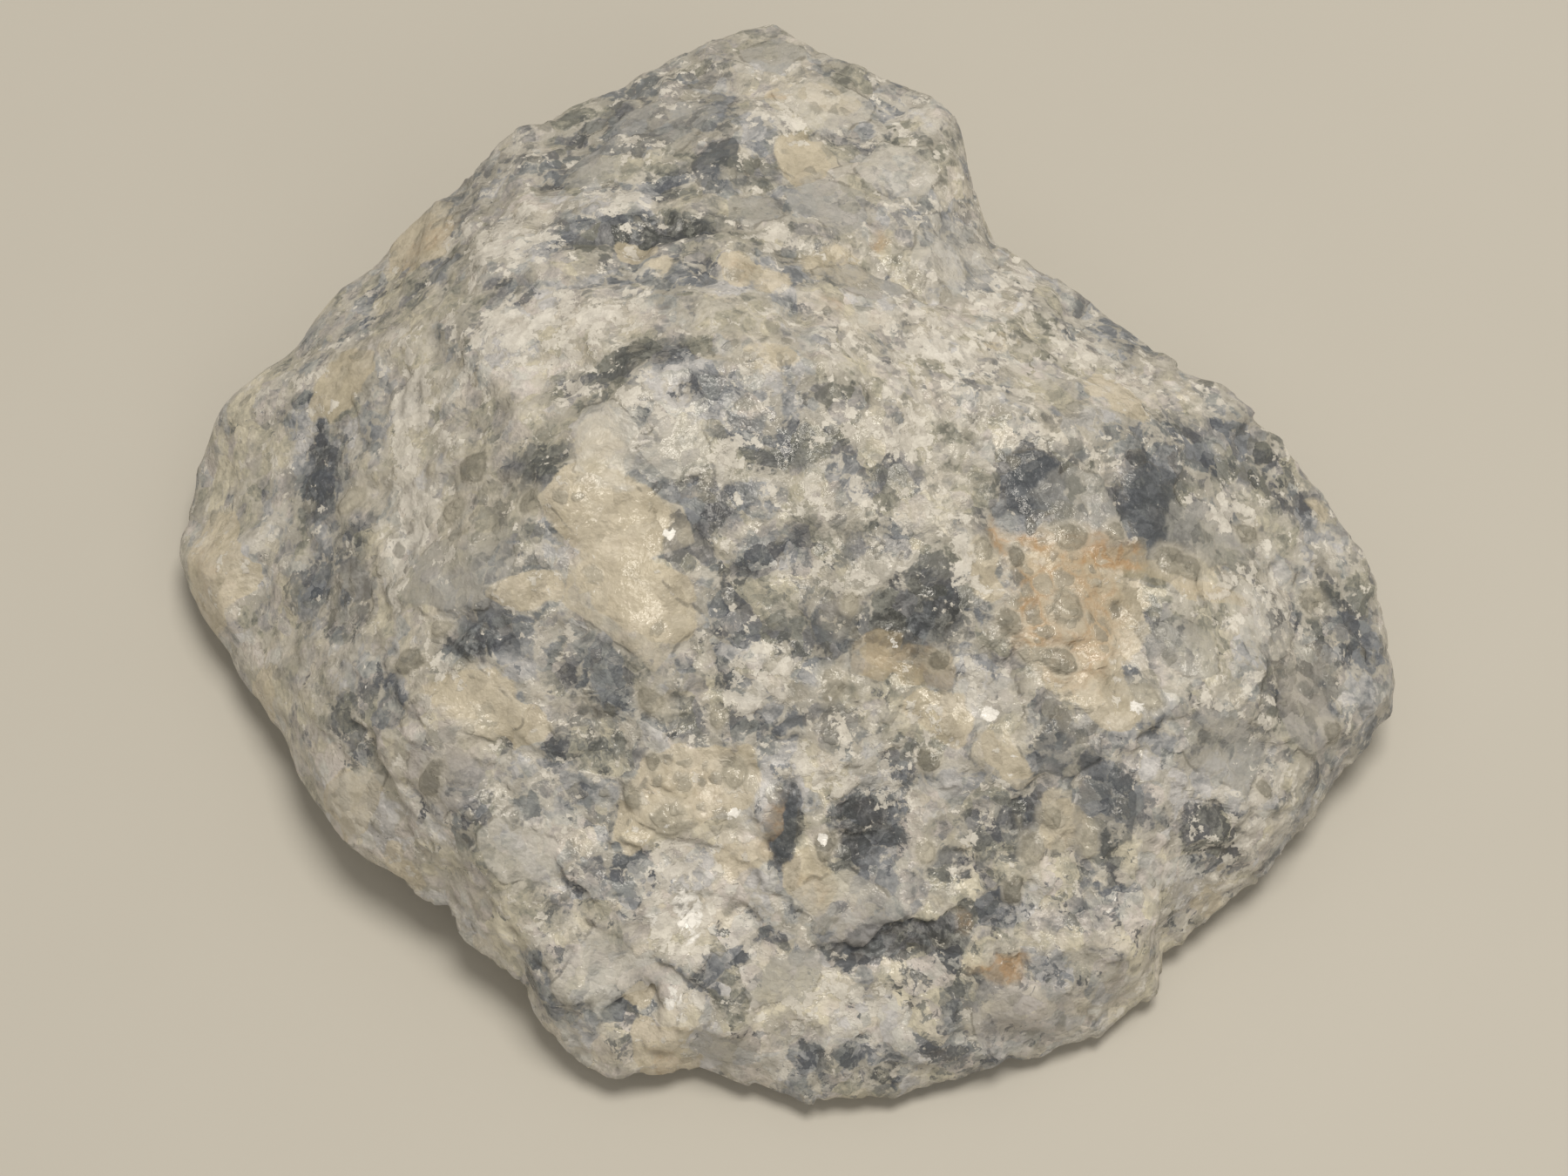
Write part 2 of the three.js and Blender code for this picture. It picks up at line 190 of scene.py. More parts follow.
def ledges(p):
    """The sum of raised and sunk ovals with squarish ends, each with a short sloping side."""
    total = 0
    for x, y, long, wide, turn, rise in LEDGES:
        c, s = np.cos(np.radians(turn)), np.sin(np.radians(turn))
        dx, dy = p[..., 0] - x, p[..., 1] - y
        along, across = np.abs(dx * c + dy * s) / long, np.abs(dy * c - dx * s) / wide
        total = total + rise * (1 - ease(0.75, 1.25, np.cbrt(along**3 + across**3)))
    return total


def relief(p):
    """How far the surface stands out: lumps, knobs, cleavage blocks, a swell and the ledges."""
    bent = p + 0.6 * np.stack([smooth_noise(p, 5, k) for k in (1, 2, 3)], -1)
    total = (0.45 * lumps(bent, 8, 30) + 0.15 * lumps(bent, 3, 40)
             + 0.45 * blocks(bent, 4.2, 16, 60) + 0.3 * smooth_noise(p, 9, 5))
    total = total + np.where(p[..., 2] > HEART[2] / 2, ledges(bent), 0)
    from_rim = np.abs(p[..., 2] - on_ring(RIM, bearing_of(p), 2))
    return total * (0.35 + 0.65 * ease(0, 2.5, from_rim)) * ease(0.2, 1.6, p[..., 2])


# The patches of colour on the top: middle x and y, half length and half width, turn, strength.
SLATE = [  # clear dark grains, where the light goes in and doesn't come back
    (-6.3, 10.9, 3.1, 1.1, 3, 1.4), (-10.4, 10.5, 2.2, 1.0, 0, 1.0), (-13.5, 7.2, 1.6, 0.8, 10, 0.8),
    (-6.4, 2.2, 2.3, 0.9, 5, 1.2), (-3.3, 0.4, 1.3, 1.0, 0, 0.8), (0.9, 5.1, 1.0, 0.7, -20, 0.9),
    (-3.3, 14.7, 0.9, 1.9, 0, 0.9), (-8.0, 17.5, 1.5, 1.0, 20, 0.5), (-11.5, 15.5, 1.3, 1.2, 30, 0.5),
    (-5.9, 19.0, 2.4, 1.6, 0, 0.4), (-0.7, 16.2, 0.8, 1.6, 0, 0.6), (4.0, 18.0, 1.5, 0.8, 0, 0.5),
    (-19.5, 9.5, 1.6, 1.0, 30, 0.8), (-16.5, 13.2, 0.7, 1.6, -20, 0.6), (-24.5, 4.5, 1.8, 1.0, 30, 0.5),
    (-23.0, 1.2, 1.3, 2.4, 10, 1.3), (-12.1, -2.9, 1.6, 1.5, 20, 1.1), (-13.9, -4.3, 1.0, 1.0, 0, 0.7),
    (-11.3, -5.7, 0.8, 0.8, 0, 0.7), (-22.5, -4.0, 2.4, 1.2, 20, 0.8), (-21.3, -6.5, 1.5, 1.2, 0, 0.7),
    (-14.3, -10.1, 1.4, 0.9, 0, 1.6), (-8.5, -11.9, 2.1, 1.2, -20, 1.0),
    (-9.4, -14.6, 2.0, 1.3, -15, 0.9), (-9.2, -17.0, 1.6, 1.0, 0, 0.7), (-7.5, -18.9, 1.4, 0.9, 0, 0.65),
    (-2.4, -22.1, 1.3, 0.8, 0, 0.6), (-19.9, -12.0, 2.0, 1.8, 0, 0.8), (-15.6, -16.4, 1.8, 1.3, -35, 0.7),
    (-3.2, 6.7, 1.2, 0.8, 0, 0.55), (-8.9, -20.6, 2.2, 1.4, 0, 0.55), (-10.8, -23.6, 1.8, 0.9, -30, 0.6),
    (-3.1, -23.6, 2.0, 1.0, 0, 0.6), (0.2, -2.0, 3.1, 1.0, -4, 1.1), (3.9, -2.6, 1.9, 0.8, -10, 0.8),
    (-4.5, -4.8, 1.5, 1.3, 0, 1.0), (0.4, -6.4, 2.6, 0.9, 0, 0.85), (4.3, -5.9, 1.4, 0.8, 0, 0.5),
    (-3.2, -4.9, 1.2, 1.3, 0, 1.2), (-0.8, -7.9, 2.6, 1.9, 0, 0.65), (1.4, -9.6, 2.8, 1.6, 0, 0.75),
    (0.7, -11.0, 1.4, 0.9, 0, 0.8), (-2.2, -11.6, 1.8, 1.1, 0, 0.6), (-2.6, -13.6, 3.0, 0.7, 0, 0.8),
    (6.4, -9.0, 2.4, 1.5, 15, 1.5), (12.0, -2.4, 1.4, 2.1, -15, 1.4), (18.0, -2.4, 1.9, 2.8, 10, 1.4),
    (11.2, -4.4, 1.0, 0.7, 0, 0.7), (21.1, 1.6, 2.6, 1.6, -35, 1.0), (24.0, 1.2, 2.6, 1.5, -35, 0.9),
    (17.2, -8.3, 1.5, 1.3, 0, 0.8), (28.0, -5.8, 1.5, 2.2, 0, 0.9), (26.2, -7.0, 1.3, 1.3, 0, 0.9),
    (25.2, -8.8, 2.2, 2.8, 0, 1.0), (27.0, -12.0, 1.2, 1.2, 0, 0.6), (4.0, -17.8, 1.8, 1.5, 10, 1.4),
    (5.7, -15.4, 1.0, 0.9, 0, 1.0), (-4.3, 8.3, 1.3, 0.9, 0, 0.8), (3.2, -13.4, 1.3, 0.8, 0, 0.6),
    (10.6, -17.8, 1.8, 1.4, 0, 0.7), (11.9, -17.3, 1.2, 1.0, 0, 1.3), (15.6, -15.9, 1.5, 2.2, 0, 0.8),
    (15.0, -19.0, 1.7, 1.4, 0, 0.8), (10.4, -20.9, 2.0, 0.8, 0, 0.6), (14.6, -20.6, 2.2, 1.1, 0, 0.75),
    (16.3, -21.0, 1.3, 1.0, 0, 0.6), (8.0, -19.2, 2.2, 0.8, -10, 0.5), (5.8, -22.3, 3.2, 1.0, 8, 1.5),
    (6.5, -23.1, 1.8, 0.8, 0, 0.8), (7.6, -24.2, 2.6, 1.2, 0, 0.9), (7.4, -26.2, 2.0, 0.7, 0, 0.9),
    (11.9, -23.4, 1.8, 0.8, 0, 0.5), (20.5, -17.0, 1.3, 1.1, 0, 1.0), (13.0, -13.0, 0.7, 1.1, 0, 1.0),
    (2.8, -27.3, 2.2, 0.7, 0, 0.9), (11.5, -25.6, 2.6, 0.6, 8, 0.6), (-6.0, 13.9, 3.0, 1.4, 0, 0.8),
    (-9.5, 19.6, 2.0, 1.2, 25, 0.6), (10.0, -10.2, 1.4, 1.2, 0, 0.5), (4.6, -9.6, 2.0, 1.0, 0, 0.5),
    (-7.4, -25.6, 1.3, 1.0, 0, 1.1), (0.1, -17.8, 0.5, 1.3, -4, 2.4), (-16.9, 12.0, 1.0, 1.4, 30, 0.6),
    (-20.3, 12.2, 1.2, 1.0, 30, 0.6)]
FROST = [  # crushed white grains
    (-13.7, 10.8, 1.9, 2.8, -20, 1.0), (-8.5, 13.2, 1.8, 1.2, 0, 0.5), (-12.2, 4.6, 3.4, 2.3, 0, 1.0),
    (-10.2, 0.9, 1.5, 0.9, 0, 0.9), (-5.9, -0.3, 1.8, 1.0, 0, 0.9), (-2.8, -2.3, 1.4, 0.8, 0, 0.7),
    (7.3, 4.6, 3.4, 3.6, 0, 0.8), (10.6, 9.3, 2.2, 2.8, -30, 0.8), (8.4, 13.0, 1.6, 1.6, 0, 0.5),
    (3.5, 3.6, 2.6, 1.2, 0, 0.6), (-8.2, 5.5, 1.2, 1.4, 0, 0.7), (-18.3, -2.6, 0.8, 3.8, 0, 1.1),
    (-18.2, 3.8, 0.8, 3.6, 15, 0.9), (-16.6, -14.5, 0.4, 3.0, 10, 0.9), (-1.6, -12.2, 1.8, 1.0, 10, 0.9),
    (9.3, -11.9, 1.2, 1.2, 0, 0.9), (2.6, -7.2, 1.6, 0.9, 0, 0.6), (-0.3, -4.4, 1.4, 0.6, 0, 0.5),
    (5.8, -1.2, 1.8, 1.4, 0, 0.8), (4.2, -4.2, 1.6, 0.7, 0, 0.55), (3.2, -1.0, 1.5, 0.8, 0, 0.6),
    (11.0, 2.4, 2.2, 2.0, 0, 0.6), (15.6, 6.0, 2.8, 1.3, -30, 0.7), (0.0, 19.5, 1.6, 2.8, 0, 0.5),
    (6.0, 15.9, 1.9, 2.4, 0, 0.45), (-0.4, 9.8, 1.4, 1.0, 0, 0.6), (2.4, -21.2, 2.2, 0.8, 0, 0.6),
    (-5.0, -20.6, 1.6, 1.8, 0, 1.0), (-4.3, -25.0, 0.9, 1.0, 0, 0.9), (2.5, -25.1, 2.8, 1.1, 0, 0.8),
    (23.0, -6.4, 2.2, 2.0, 0, 0.8), (21.8, -2.0, 1.5, 1.0, 0, 0.8), (8.3, -7.6, 0.8, 1.2, 0, 0.8),
    (8.0, -5.2, 1.0, 0.8, 0, 0.7), (5.5, -16.7, 1.3, 1.6, 30, 0.9), (18.6, -20.0, 1.6, 1.0, 30, 0.4),
    (16.8, -23.4, 1.0, 1.4, -20, 0.4), (-7.3, 16.8, 1.6, 1.1, 30, 0.7), (-5.2, 20.3, 1.2, 1.2, 0, 0.7),
    (2.2, -15.2, 1.8, 1.0, 0, 0.9), (6.8, -13.9, 1.3, 0.9, 0, 0.7), (8.8, -17.5, 1.0, 1.6, 0, 0.7),
    (21.5, -11.0, 2.4, 1.6, 0, 0.5), (22.0, -15.8, 3.0, 2.2, 30, 0.7), (-15.5, -6.0, 2.2, 1.0, 0, 0.6),
    (-12.9, -14.1, 1.2, 0.9, 0, 0.5), (-17.4, -15.6, 1.3, 1.0, -35, 0.5),
    (-16.1, -10.9, 1.2, 0.8, 0, 0.6), (-15.3, 4.2, 1.2, 1.2, 0, 0.6), (-18.3, 0.9, 0.6, 2.2, 4, 1.1),
    (-17.5, -3.1, 0.9, 0.9, 0, 1.6), (-18.2, -6.3, 0.6, 1.6, 0, 1.1)]
CREAM = [  # pale yellowish translucent flakes
    (-8.3, -5.2, 2.8, 1.9, -15, 1.2), (-6.6, -8.4, 2.7, 1.5, -25, 1.1), (-8.6, -2.0, 1.4, 1.4, 0, 0.6),
    (2.9, 8.6, 2.8, 1.8, 0, 0.6), (-7.2, 9.5, 1.4, 0.8, -30, 1.1), (-5.6, 7.8, 1.1, 0.6, 0, 0.6),
    (-2.3, 7.6, 0.7, 1.2, 0, 0.9), (1.0, 16.6, 1.3, 1.8, 0, 0.9), (2.4, 20.5, 1.8, 0.9, 0, 0.7),
    (-0.3, 20.8, 0.8, 0.7, 0, 1.1), (-18.6, 14.0, 1.6, 2.1, 30, 1.4), (-22.2, 5.6, 2.0, 1.6, 30, 0.8),
    (-28.9, -1.3, 1.2, 3.0, 0, 1.2), (-26.1, -8.1, 0.8, 1.3, 0, 1.1), (-14.3, -12.6, 2.8, 1.1, -10, 0.8),
    (-12.2, -13.5, 1.4, 1.0, 0, 1.1), (-12.0, -8.5, 1.8, 0.8, 0, 0.9), (-4.1, -15.8, 2.8, 1.4, 0, 1.4),
    (-7.2, -17.4, 1.4, 1.2, 0, 0.8), (4.3, -11.0, 1.0, 0.6, 0, 0.8), (13.7, -8.6, 2.2, 3.6, 0, 1.1),
    (15.2, -12.0, 1.4, 1.6, 0, 1.0), (16.2, -7.6, 1.5, 3.2, 0, 1.0), (7.5, -13.2, 1.6, 1.0, 0, 0.7),
    (9.2, -6.6, 1.0, 1.6, 0, 0.7), (-0.8, 1.8, 2.4, 1.0, 0, 0.5), (-1.0, 7.3, 1.6, 1.4, 0, 0.6),
    (10.4, -14.8, 1.5, 0.5, -25, 0.9), (19.5, -5.9, 2.8, 0.6, -6, 0.8), (6.4, -12.6, 1.6, 0.7, 0, 0.4),
    (-1.6, -19.0, 1.6, 1.0, 0, 0.6), (1.4, -19.6, 1.2, 1.1, 0, 0.9), (-5.7, -26.5, 1.6, 0.7, 0, 1.3),
    (-7.1, -25.2, 0.8, 0.6, 0, 0.8), (-20.8, -14.8, 1.5, 0.9, -35, 0.9),
    (-18.4, -18.0, 1.6, 0.6, -40, 0.6), (13.6, -17.8, 1.1, 1.1, 0, 1.0), (16.3, 3.3, 1.9, 1.6, -30, 0.8),
    (21.4, -4.9, 1.6, 1.0, 0, 0.4), (26.7, 0.3, 1.0, 1.0, 0, 0.5), (20.9, -18.6, 1.4, 0.6, 40, 0.6),
    (10.5, 5.5, 1.4, 1.8, -20, 0.5)]
RUST = [  # orange-brown staining, mostly along cracks
    (13.4, -8.4, 3.4, 3.4, 0, 0.75), (14.2, -5.5, 3.4, 0.6, -6, 1.3), (10.4, -5.6, 0.6, 1.4, 20, 0.9),
    (12.9, -7.3, 2.4, 1.6, 0, 0.8), (14.6, -9.6, 2.0, 2.4, 0, 0.5), (11.0, -9.0, 0.35, 1.8, 0, 0.9),
    (10.0, -23.1, 1.9, 0.5, 3, 0.85), (8.7, -21.5, 0.5, 0.6, 0, 0.55), (-0.4, -17.8, 0.7, 1.5, 0, 0.6),
    (1.4, -19.7, 0.9, 0.6, 0, 0.5), (-2.3, 7.4, 0.5, 0.8, 0, 0.5), (2.4, 5.8, 0.5, 0.8, 0, 0.5),
    (-29.2, -1.5, 0.8, 2.2, 0, 0.35), (-5.7, -26.7, 1.0, 0.4, 0, 0.5), (19.5, -5.9, 2.4, 0.5, -6, 0.4),
    (4.8, 11.3, 0.5, 0.7, 0, 0.7), (-0.3, 20.9, 0.6, 0.5, 0, 0.6), (-18.0, 13.4, 1.8, 1.1, 30, 0.55),
    (14.6, -5.0, 2.4, 0.9, -6, 1.0), (5.6, -11.1, 2.0, 0.8, 0, 0.4), (-4.5, -16.0, 2.2, 1.1, 0, 0.35)]
BEADS = [  # small round glassy grains
    (13.4, -8.0, 2.8, 3.4, 0, 1.0), (-14.5, -4.0, 2.2, 1.6, 0, 0.9), (-4.3, -16.6, 2.8, 1.6, 0, 1.0),
    (-15.0, -14.0, 1.8, 1.2, 0, 0.7), (14.2, -12.6, 1.8, 1.4, 0, 0.9), (25.5, -9.0, 2.2, 2.4, 0, 0.6),
    (19.5, -5.2, 2.0, 1.2, 0, 0.8), (-1.5, 2.4, 1.9, 0.8, 0, 0.9), (2.6, -9.4, 1.0, 1.0, 0, 0.7),
    (-21.0, -5.5, 2.4, 1.8, 0, 0.7), (13.6, 0.8, 1.4, 2.0, 0, 0.6), (3.0, 5.2, 2.2, 1.2, 0, 0.7),
    (-9.5, -13.5, 1.8, 1.0, 0, 0.5), (2.6, -13.8, 1.8, 1.0, 0, 0.6), (13.4, -17.8, 1.6, 1.4, 0, 0.6)]
PAINTED_GLINTS = [  # painted highlights: cleavage faces that lie just right for the lamp, painted near white into the colour
    (-4.6, -21.2, 0.7, 1.1, 20, 1.0), (-5.2, -24.6, 0.5, 0.7, 0, 0.8), (9.8, -13.1, 0.6, 0.35, -10, 0.8),
    (-5.4, -6.0, 0.3, 0.25, 0, 1.0), (5.4, -10.4, 0.3, 0.25, 0, 0.9), (16.6, -12.3, 0.3, 0.35, 0, 0.9),
    (1.9, -18.2, 0.25, 0.25, 0, 1.0), (-2.4, -17.2, 0.4, 0.25, 20, 0.8), (-6.3, -21.3, 0.4, 0.4, 0, 0.9)]

# The cleavage plates, single smooth grains broken flat: middle, half sizes, turn, colour.
CREAMY, PALE, GREY = (0.61, 0.555, 0.44), (0.61, 0.595, 0.55), (0.38, 0.38, 0.365)
LILAC, BLUE = (0.44, 0.425, 0.42), (0.085, 0.097, 0.112)
TAN, OLIVE = (0.42, 0.345, 0.225), (0.25, 0.225, 0.145)
PLATE_REACH = 0.4  # how far past its edge a plate hands on its colour
PLATES = [
    (-7.7, -5.6, 3.1, 1.7, -15, CREAMY), (-7.3, -8.7, 3.4, 1.35, -12, CREAMY),
    (-8.6, -2.0, 1.6, 1.7, 10, PALE), (-5.0, -2.2, 1.4, 1.4, 20, PALE), (-15.2, -6.7, 3.0, 1.5, -4, GREY),
    (-14.3, -13.0, 2.4, 1.0, -10, CREAMY), (2.9, -20.6, 2.4, 1.1, -8, PALE),
    (3.3, -21.7, 1.8, 0.6, 12, LILAC), (0.0, -23.7, 1.7, 1.2, 10, GREY),
    (11.6, -24.9, 2.8, 1.2, 3, LILAC), (-8.4, -23.6, 2.4, 1.2, 5, PALE),
    (13.3, -17.0, 0.8, 1.0, 0, CREAMY), (14.7, -17.7, 0.7, 1.2, 0, CREAMY),
    (10.2, -12.9, 1.3, 1.1, 0, PALE), (4.5, -10.9, 1.4, 1.0, -8, TAN), (6.8, -11.4, 1.4, 0.8, 10, TAN),
    (10.4, -15.0, 1.9, 0.5, -25, CREAMY), (13.6, -14.6, 1.7, 1.0, -5, BLUE),
    (11.9, -2.4, 1.2, 1.8, -10, BLUE), (14.3, -3.1, 1.5, 1.8, 5, GREY), (17.6, -5.6, 1.4, 0.7, -5, OLIVE),
    (18.0, -2.8, 1.8, 2.5, 8, BLUE), (-6.0, 18.6, 2.6, 1.9, 15, GREY), (-3.2, 14.8, 1.2, 1.8, 5, BLUE),
    (-1.6, 12.1, 1.4, 1.2, 0, GREY), (1.0, 16.4, 1.5, 1.6, 0, CREAMY), (2.2, 20.2, 2.6, 1.4, -20, PALE),
    (-0.3, 24.0, 1.7, 1.4, 0, GREY), (5.7, 15.6, 1.9, 1.8, 10, PALE), (2.2, 13.1, 2.0, 1.6, -15, GREY),
    (3.9, 8.2, 2.4, 1.0, 0, GREY), (8.7, 11.4, 2.2, 2.3, -20, PALE), (-18.6, 14.9, 1.6, 2.0, 30, CREAMY),
    (23.3, -6.8, 2.0, 1.6, 10, PALE), (18.9, -9.1, 1.6, 1.3, 0, GREY), (20.8, -3.2, 2.0, 1.5, -10, GREY),
    (21.3, -13.3, 2.3, 1.4, 20, GREY), (15.6, -17.0, 1.2, 1.8, -10, BLUE),
    (-16.0, -15.5, 2.0, 1.1, -30, LILAC), (-12.6, -18.6, 1.8, 1.2, -30, PALE),
    (-20.8, -14.8, 1.4, 0.9, -35, PALE), (-9.6, 15.8, 2.0, 1.3, 20, GREY),
    (-3.2, -26.6, 2.0, 0.5, 0, GREY), (0.1, -17.8, 0.55, 1.4, -4, BLUE),
    (25.3, -10.6, 1.4, 1.8, 0, LILAC)]


def patch_field(p, patches, inner=0.55, outer=1.45):
    """The strongest patch at each place: its strength times a soft-edged ellipse, on the top."""
    total = 0
    for x, y, long, wide, turn, strength in patches:
        c, s = np.cos(np.radians(turn)), np.sin(np.radians(turn))
        dx, dy = p[..., 0] - x, p[..., 1] - y
        away = np.hypot((dx * c + dy * s) / long, (dy * c - dx * s) / wide)
        total = np.maximum(total, strength * (1 - ease(inner, outer, away)))
    return total * ease(-0.5, 1.5, p[..., 2] - on_ring(RIM, bearing_of(p), 2) + 1)


def plates(p):
    """The plates' colour, and how far each place lies outside the nearest one. A plate is six
    straight sides, as far out as an ellipse's, and the last one laid down wins where two meet."""
    colour, edge = np.zeros_like(p), np.ones(p.shape[:-1])
    for x, y, long, wide, turn, tone in PLATES:
        dx, dy = p[..., 0] - x, p[..., 1] - y
        past = -np.ones(p.shape[:-1])
        for k in range(6):
            unlike = lattice_number(x, y, k, 501)
            side = np.radians(60 * k + 30 * unlike)
            out = np.hypot(long * np.cos(side), wide * np.sin(side)) * (0.85 + 0.25 * unlike)
            side = side + np.radians(turn)
            past = np.maximum(past, dx * np.cos(side) + dy * np.sin(side) - out)
        past = np.where(p[..., 2] > HEART[2] / 3, past, 1)
        colour = np.where((past < PLATE_REACH)[..., None], tone, colour)
        edge = np.minimum(edge, past)
    return colour, edge


# Round glassy grains big enough to be told apart: middle, half width, tone from 0, dark, to 1.
ROUND_GRAINS = [
    (-14.7, -2.0, 0.70, 0.1), (-15.6, -3.7, 0.60, 0.6), (-12.0, -4.6, 0.60, 0.3),
    (-21.2, -1.0, 0.65, 0.9), (-16.7, -1.3, 0.32, 0.8), (-17.5, -10.3, 0.60, 0.2),
    (-16.5, -15.4, 0.55, 0.1), (-16.1, -9.2, 0.40, 0.6), (-6.2, -12.5, 0.60, 0.7),
    (-5.4, -17.2, 0.75, 0.6), (-2.4, -15.6, 0.60, 0.6), (-7.3, -16.5, 0.50, 0.5),
    (-3.1, -13.4, 0.40, 0.5), (3.1, -8.7, 0.45, 0.9), (2.3, -12.0, 0.65, 0.5), (-6.2, -15.1, 0.35, 0.4),
    (13.5, -4.9, 0.70, 0.35), (15.5, -4.3, 0.50, 0.35), (11.1, -6.1, 0.50, 0.1), (9.4, -5.9, 0.55, 0.45),
    (13.3, -8.0, 0.90, 0.4), (10.5, -9.1, 0.65, 0.15), (11.7, -10.6, 0.42, 0.9), (12.9, -10.6, 0.70, 0.2),
    (18.7, -5.1, 0.70, 0.35), (19.6, -5.2, 0.60, 0.3), (22.8, -2.5, 0.45, 0.3), (26.4, -4.8, 0.60, 0.4),
    (6.8, -15.0, 0.42, 0.1), (2.0, -18.5, 0.50, 0.1), (6.7, -18.4, 0.45, 0.8), (7.4, -11.1, 0.45, 0.15),
    (11.8, -18.5, 0.60, 0.45), (11.0, -20.0, 0.50, 0.1), (14.8, -18.3, 0.50, 0.8),
    (12.9, -17.3, 0.50, 0.4), (23.0, -14.4, 0.35, 0.1), (26.8, -11.1, 0.50, 0.1),
    (17.0, -11.7, 0.60, 0.8)]


def round_grains(p):
    """How far out each place lies in the nearest round grain, 1 at that grain's edge, and its tone."""
    nearest, tone = np.full(p.shape[:-1], 3.0), np.zeros(p.shape[:-1])
    for x, y, half_width, own_tone in ROUND_GRAINS:
        out = np.hypot(p[..., 0] - x, p[..., 1] - y) / half_width
        closer = (out < nearest) & (p[..., 2] > HEART[2] / 3)
        nearest, tone = np.where(closer, out, nearest), np.where(closer, own_tone, tone)
    return nearest, tone


def rays(cells, top_share, side_share):
    """Directions over a square grid. The square is bent to a disc and the disc wrapped round the
    ellipsoid: its area sets the level, with a ring along the rim and one round the flat spot."""
    line = np.linspace(-1, 1, cells + 1)
    u, v = np.meshgrid(line, line, indexing="ij")
    wide = np.abs(u) > np.abs(v)
    radius = np.where(wide, u, v)
    across = np.where(wide, v, u) / np.where(radius == 0, 1, radius) * np.pi / 4
    angle = np.where(wide, across, np.pi / 2 - across) + np.where(radius < 0, np.pi, 0)
    outward = np.stack([np.cos(angle), np.sin(angle), 0 * angle], -1) * HALF_SIZE
    bearing, half = bearing_of(outward), np.hypot(outward[..., 0], outward[..., 1])

    def level_through(reach, height):
        steepness = (height - HEART[2]) / reach * half / HALF_SIZE[2]
        return steepness / np.hypot(1, steepness)

    rim_level = level_through(on_ring(RIM, bearing, 1), on_ring(RIM, bearing, 2))
    flat_level = level_through(on_ring(FLAT_SPOT, bearing, 1), 0)
    area = radius * radius
    top = 1 + (rim_level - 1) * area / top_share
    side = rim_level + (flat_level - rim_level) * (area - top_share) / (side_share - top_share)
    under = flat_level + (-1 - flat_level) * (area - side_share) / (1 - side_share)
    level = np.where(area < top_share, top, np.where(area < side_share, side, under))
    ring = np.sqrt(np.maximum(0, 1 - level * level))
    return outward * ring[..., None] + np.array([0, 0, 1]) * (level * HALF_SIZE[2])[..., None]


FARTHEST = 1.7  # a ray's length where it's surely outside, in lengths of the ellipsoid's own
HALVINGS = 26


def ends_of(directions, growth):
    """Where each ray leaves the stone grown by that much, found by halving."""
    low, high = np.zeros(directions.shape[:-1]), np.full(directions.shape[:-1], FARTHEST)
    for _ in range(HALVINGS):
        middle = (low + high) / 2
        inside = outside_stone(HEART + directions * middle[..., None]) < growth
        low, high = np.where(inside, middle, low), np.where(inside, high, middle)
    return HEART + directions * low[..., None]


def averaged(field, times):
    """Each place takes the mean of its four neighbours, so many times over."""
    for _ in range(times):
        ringed = np.pad(field, 1, mode="edge")
        field = (ringed[:-2, 1:-1] + ringed[2:, 1:-1] + ringed[1:-1, :-2] + ringed[1:-1, 2:]) / 4
    return field


CELLS = 308
TOP_SHARE, SIDE_SHARE = 0.78, 0.985  # of the square's area: down to the rim, down to the flat spot
directions = rays(CELLS, TOP_SHARE, SIDE_SHARE)
plain = ends_of(directions, 0)
worn = ease(-20, -25, plain[..., 0])  # the thin left tip, where the steps are rubbed round
coarse = averaged(relief(plain), 1)
coarse = coarse + (averaged(coarse, 10) - coarse) * worn


def pushed(p, reach, size, seeds, layers):
    """Places moved by up to about that reach, each axis by a layered noise of its own."""
    return p + reach * np.stack([layered_noise(p, size, seed, layers) for seed in seeds], -1)


# Where each kind of ground lies. Each is a tendency from about 0 to 1, made ragged by noise: the
# numbers given to a noise are its largest size in millimetres and its seed.
torn = pushed(plain, 0.5, 1.6, (401, 431, 461), 3)
scattered = layered_noise(plain, 7.0, 81)
hidden = 1 - ease(-2.0, 1.0, plain[..., 2] - on_ring(RIM, bearing_of(plain), 2))
slate = patch_field(torn, SLATE, 0.65, 1.5) + 0.28 * layered_noise(plain, 2.8, 91) + 0.12 * scattered
frost = patch_field(torn, FROST, 0.3, 1.7) + 0.30 * layered_noise(plain, 2.6, 131) - 0.10 * scattered
cream = patch_field(torn, CREAM) + 0.12 * layered_noise(plain, 3.0, 171)
rust = patch_field(torn, RUST) + 0.12 * layered_noise(plain, 2.0, 211)
beads = patch_field(plain, BEADS) + 0.15 * layered_noise(plain, 3.0, 241)
# where the painted highlights go
painted_glint = patch_field(plain, PAINTED_GLINTS, 0.4, 1.6)
crooked_sides = pushed(plain, 0.14, 1.2, (521, 531, 541), 2)
plate_colour, plate_edge = plates(crooked_sides)
plate = 1 - ease(-0.12, 0.12, plate_edge)
round_way, round_tone = round_grains(crooked_sides)
# Painted light and shade in the tone: the front and the left flank are made lighter and the back left darker,
# for how the lamps fall on them. The patches and the noise in it are the stone's own.
painted_shade_back_left = ease(10, 20, plain[..., 1]) * ease(4, -6, plain[..., 0])
front, painted_light_left = ease(-10, -24, plain[..., 1]), ease(-15, -24, plain[..., 0])
tone = (0.50 * patch_field(plain, FROST, 0.0, 2.4) - 0.60 * patch_field(plain, SLATE, 0.0, 2.2)
        + 0.30 * patch_field(plain, CREAM, 0.0, 2.2) + 0.22 * layered_noise(plain, 4.0, 281)
        - 0.20 * painted_shade_back_left + 0.50 * front + 0.30 * painted_light_left)
cream = cream + hidden * 0.35 * ease(0.1, 0.6, layered_noise(plain, 6.0, 251))
rust = rust + hidden * 0.4 * ease(0.3, 0.7, layered_noise(plain, 5.0, 261))

